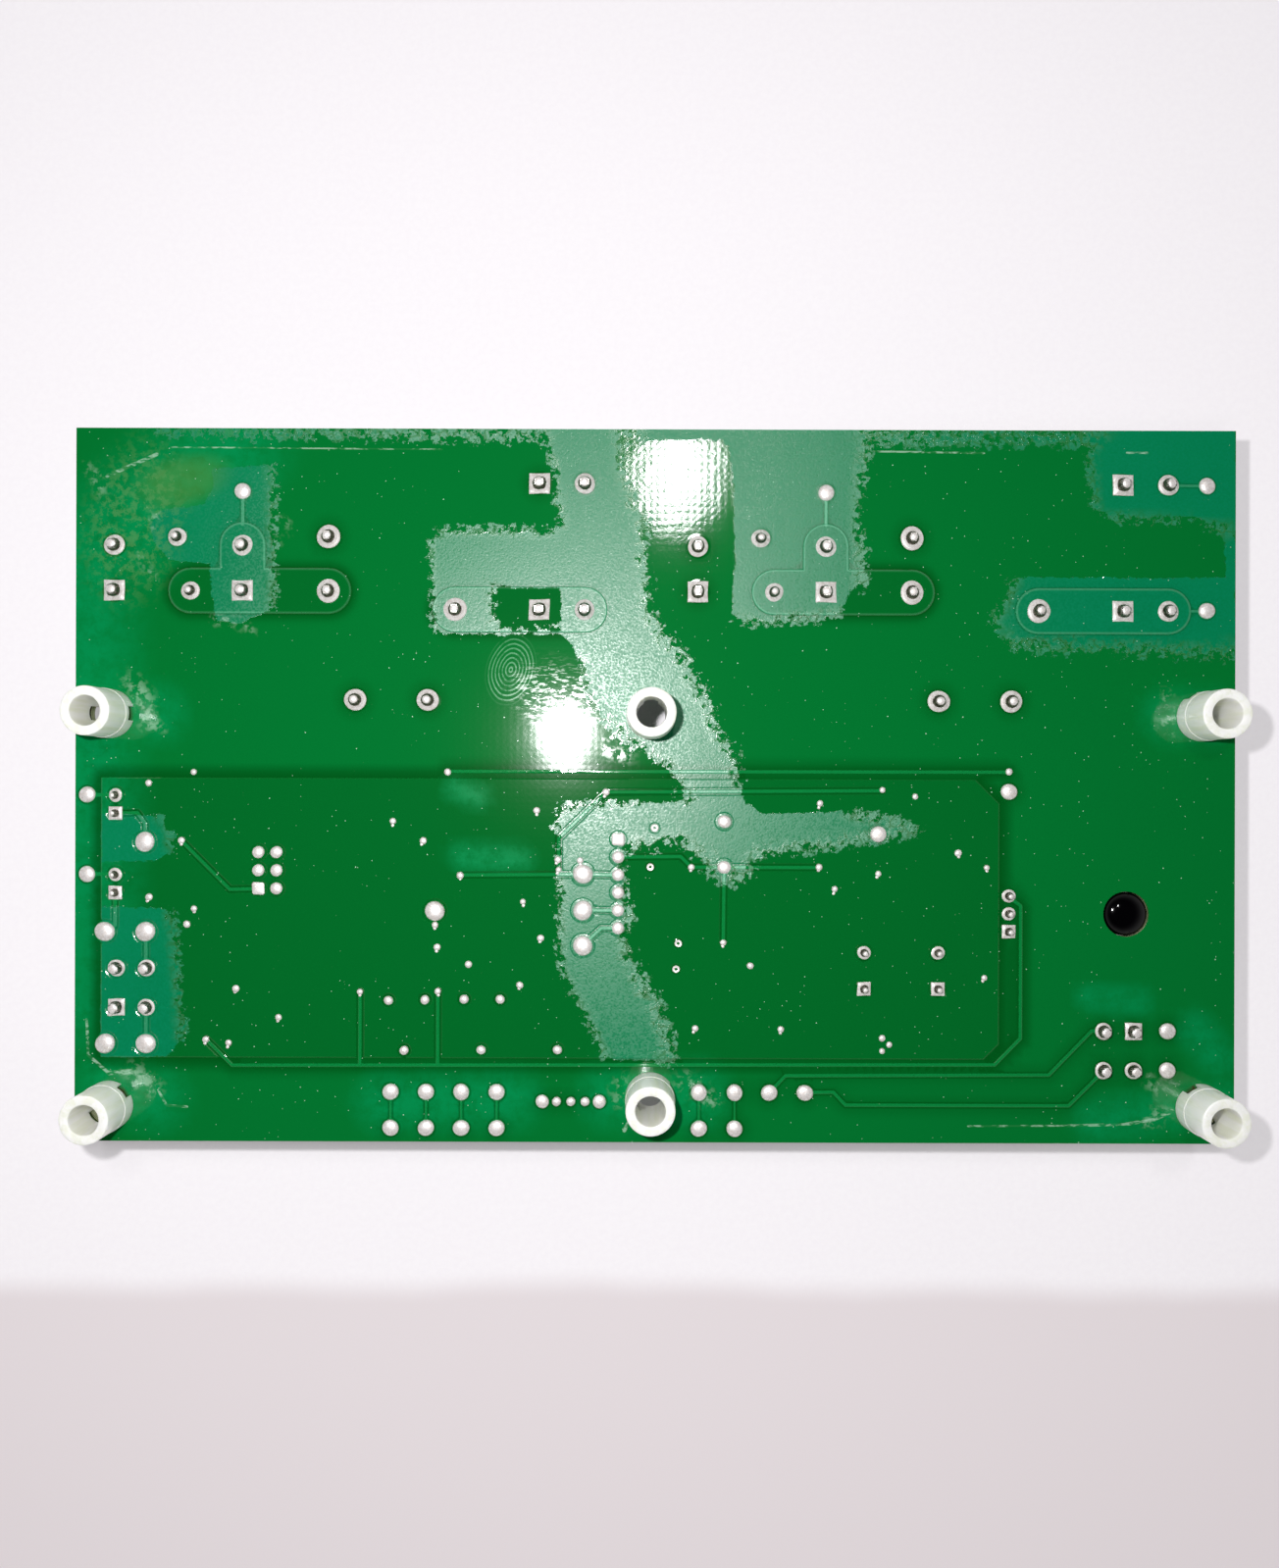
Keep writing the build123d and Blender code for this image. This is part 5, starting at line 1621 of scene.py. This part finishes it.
@dataclass
class UnderParts:
    """Round parts of the component side: discs, cans, lamps and the receiver."""

    palette: Palette
    segments: int = 56
    crease: float = 40.0
    disc_round: float = 2.0
    body_gap: float = 0.15
    dome_radius: float = 3.06
    dome_bulge: float = 1.2
    shoulder: float = 20.05

    def stand(self, draft: Draft, kind: str, node: str, slot: str, finish: str = "") -> None:
        """Turns a draft into the piece that stands for a node.

        Args:
            draft: the points and faces.
            kind: the last word of the piece's name, after the node's.
            node: the node.
            slot: the material slot.
            finish: the finish, where it isn't the slot's own.
        """
        name = node.removesuffix("_disc").removesuffix("_body")
        settle(draft.to_object(f"{name}_{kind}", self.palette[finish or slot], self.crease), slot, node)

    def varistors(self) -> None:
        """Makes the coated discs, rounded like a dipped drop."""
        for node in ("left_varistor_disc", "right_varistor_disc"):
            low, high = (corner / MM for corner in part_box(node))
            middle = (low + high) / 2
            flat = (high.z - low.z) / 2 - self.disc_round
            half = (high.x - low.x) / 2
            angles = [math.pi * (step / 12 - 0.5) for step in range(13)]
            rings = [(flat + self.disc_round * math.cos(angle) ** 0.8, half * math.sin(angle), 0.0)
                     for angle in angles]
            draft = Draft()
            draft.form(tuple(middle), rings, self.segments, along_x=True)
            self.stand(draft, "coated", node, "varistor_coating")

    def capacitors(self) -> None:
        """Makes the beaded cans, each with a rolled end round its bung."""
        foot = [(1.4, 0.12), (1.1, 0.0), (0.5, 0.02), (0.12, 0.2), (0.0, 0.6)]
        bead = [(0.0, 4.2), (0.12, 4.0), (0.42, 3.55), (0.48, 3.2), (0.42, 2.85), (0.12, 2.4), (0.0, 2.2)]
        lip = [(0.0, 0.35), (0.15, 0.08), (0.45, 0.0), (0.9, 0.05), (0.95, 1.7)]
        for node in ("capacitor_can_1", "capacitor_can_2"):
            low, high = (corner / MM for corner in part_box(node))
            middle = (low + high) / 2
            radius, length = (high.x - low.x) / 2, high.z - low.z
            rings = [(radius - inward, level, 0.0) for inward, level in foot]
            rings += [(radius - inward, length - down, 0.0) for inward, down in bead + lip]
            draft = Draft()
            draft.form((middle.x, middle.y, low.z), rings, self.segments)
            self.stand(draft, "drawn", node, "can_aluminium")

    def lamps(self) -> None:
        """Makes the two indicator lamps with domed noses."""
        for node in ("upper_lamp", "lower_lamp"):
            low, high = (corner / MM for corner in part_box(node))
            middle = (low + high) / 2
            flange, height = (high.x - low.x) / 2, high.z - low.z
            body = flange - 0.4
            rings = [(body * math.sin(angle), body - body * math.cos(angle), 0.0)
                     for angle in (math.radians(step) for step in (8, 22, 38, 54, 72, 90))]
            rings += [(body, height - 1.0, 0.0), (flange, height - 0.95, 0.0), (flange, height, 0.0)]
            draft = Draft()
            draft.form((middle.x, middle.y, low.z), rings, 32)
            self.stand(draft, "moulded", node, "lamp_lens")

    def receiver(self) -> None:
        """Makes the infrared receiver: a block with a black dome that fills the board's window."""
        low, high = (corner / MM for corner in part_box("receiver_body"))
        middle = (low + high) / 2
        half_x, half_y = (high.x - low.x) / 2 - self.body_gap, (high.y - low.y) / 2 - self.body_gap
        draft = Draft()
        draft.form((0.0, 0.0, 0.0), [
            (0.98, low.z, 1.0), (1.0, low.z + 0.15, 1.0), (1.0, self.shoulder - 0.12, 1.0),
            (0.98, self.shoulder, 1.0)], 32)
        draft.points = [(middle.x + x * half_x, middle.y + y * half_y, z) for x, y, z in draft.points]
        centre = high.z + 0.8 - self.dome_bulge
        dome = [(self.dome_radius, self.shoulder - 1.0, 0.0), (self.dome_radius, centre - 0.1, 0.0)]
        dome += [(self.dome_radius * math.cos(angle), centre + self.dome_bulge * math.sin(angle), 0.0)
                 for angle in (math.radians(step) for step in (4, 10, 18, 28, 38, 48, 58, 68, 78, 86))]
        draft.form((middle.x, middle.y, 0.0), dome, 48)
        self.stand(draft, "moulded", "receiver_body", "black_moulding", "lens_black")

    def build(self) -> None:
        """Makes all the round parts."""
        self.varistors()
        self.capacitors()
        self.lamps()
        self.receiver()


@dataclass
class Dresser:
    """Gives each node that keeps its own shape the finish of its slot."""

    palette: Palette

    def build(self, frame: dict) -> None:
        """Assigns the finishes.

        Args:
            frame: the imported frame.
        """
        slots = {entry["node"]: entry["material_slot"] for entry in frame["record"]["subparts"]}
        for name, node in frame["nodes"].items():
            finish = self.palette[slots[name]]
            if not node.data.materials:
                node.data.materials.append(finish)
            for index in range(len(node.data.materials)):
                node.data.materials[index] = finish
            LOG.info("%s dressed as %s", name, slots[name])


@dataclass(frozen=True)
class Studio:
    """Camera, lamps, world and the paper that the board lies on."""

    palette: Palette
    eye: Place = (-2.2, 0.25, 237.0)
    roll: float = 0.17
    sensor: float = 36.0
    lens: float = 35.2
    flash: Place = (-23.0, 14.2, 237.0)
    flash_size: float = 6.0
    flash_power: float = 0.46
    window: Place = (17.5, 167.0, 622.0)
    window_aim: Place = (3.0, 44.4, 22.0)
    window_size: Point = (29.0, 60.0)
    window_power: float = 0.42
    sky: float = 0.6
    zenith: float = 0.012
    sky_band: Point = (0.35, 0.86)
    sky_colour: Colour = (1.0, 0.985, 0.97)
    backdrop: Colour = (0.96, 0.95, 0.96)
    floor_reach: float = 900.0
    floor_level: float = -0.02

    def camera(self) -> None:
        """Sets the camera straight above the board."""
        data = bpy.data.cameras.new("camera")
        data.sensor_width = self.sensor
        data.sensor_fit = "AUTO"
        data.lens = self.lens
        data.clip_start = 0.01
        made = bpy.data.objects.new("camera", data)
        made.location = [value * MM for value in self.eye]
        made.rotation_euler = (0.0, 0.0, math.radians(self.roll))
        bpy.context.scene.collection.objects.link(made)
        bpy.context.scene.camera = made

    def lamp(self, name: str, place: Place, aim: Place, size: Point, power: float) -> None:
        """Adds one oval area lamp that the camera doesn't see.

        Args:
            name: the lamp's name.
            place, aim: where it is and where it points, in millimetres.
            size: its width and height.
            power: its power in watts.
        """
        data = bpy.data.lights.new(name, "AREA")
        data.shape = "ELLIPSE"
        data.size, data.size_y = size[0] * MM, size[1] * MM
        data.energy = power
        made = bpy.data.objects.new(name, data)
        made.location = [value * MM for value in place]
        made.rotation_euler = (Vector(aim) - Vector(place)).to_track_quat("-Z", "Y").to_euler()
        made.visible_camera = False
        bpy.context.scene.collection.objects.link(made)

    def world(self) -> None:
        """Makes a soft even sky with a darker patch overhead, white where the camera sees it."""
        world = bpy.data.worlds.new("world")
        bpy.context.scene.world = world
        bench = NodeBench(world, "World")
        split = bench.node("SeparateXYZ", {0: bench.coordinates.outputs["Generated"]})
        strength = bench.ramp(split.outputs[2], *self.sky_band, self.sky, self.zenith)
        lit = bench.node("Background", {"Color": (*self.sky_colour, 1.0), "Strength": strength})
        seen = bench.node("Background", {"Color": (*self.backdrop, 1.0)})
        camera = bench.node("LightPath").outputs["Is Camera Ray"]
        bench.end(bench.node("MixShader", {0: camera, 1: lit.outputs[0], 2: seen.outputs[0]}))

    def floor(self) -> None:
        """Lays the paper."""
        corners = [(x * self.floor_reach, y * self.floor_reach, self.floor_level)
                   for x, y in ((-1, -1), (1, -1), (1, 1), (-1, 1))]
        Draft(corners, [(0, 1, 2, 3)]).to_object("paper", self.palette["paper"])

    def build(self) -> None:
        """Sets up everything around the part."""
        self.camera()
        self.lamp("flash", self.flash, (self.flash[0], self.flash[1], 0.0),
                  (self.flash_size, self.flash_size), self.flash_power)
        self.lamp("window", self.window, self.window_aim, self.window_size, self.window_power)
        self.world()
        self.floor()


def main() -> None:
    """Builds the looks in order."""
    logging.basicConfig(level=logging.INFO, format="%(name)s: %(message)s")
    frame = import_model()
    bpy.context.scene.view_settings.view_transform = "Standard"
    palette = Palette()
    Studio(palette).build()
    artwork = Artwork()
    for name, node in frame["nodes"].items():
        if name.endswith("_solder") or name.endswith("_pads"):
            artwork.pads += [(solid.centre, solid.half_width) for solid in solids_of(node)]
    low, high = (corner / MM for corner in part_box("circuit_board"))
    standoffs = Standoffs(palette)
    board = Board(palette, artwork, Residue(), standoffs, tuple(low), tuple(high))
    settle(board.build(), "solder_mask", "circuit_board")
    SolderWork(palette).build(frame, artwork)
    standoffs.build()
    UnderParts(palette).build()
    Dresser(palette).build(frame)


if __name__ == "__main__":
    main()
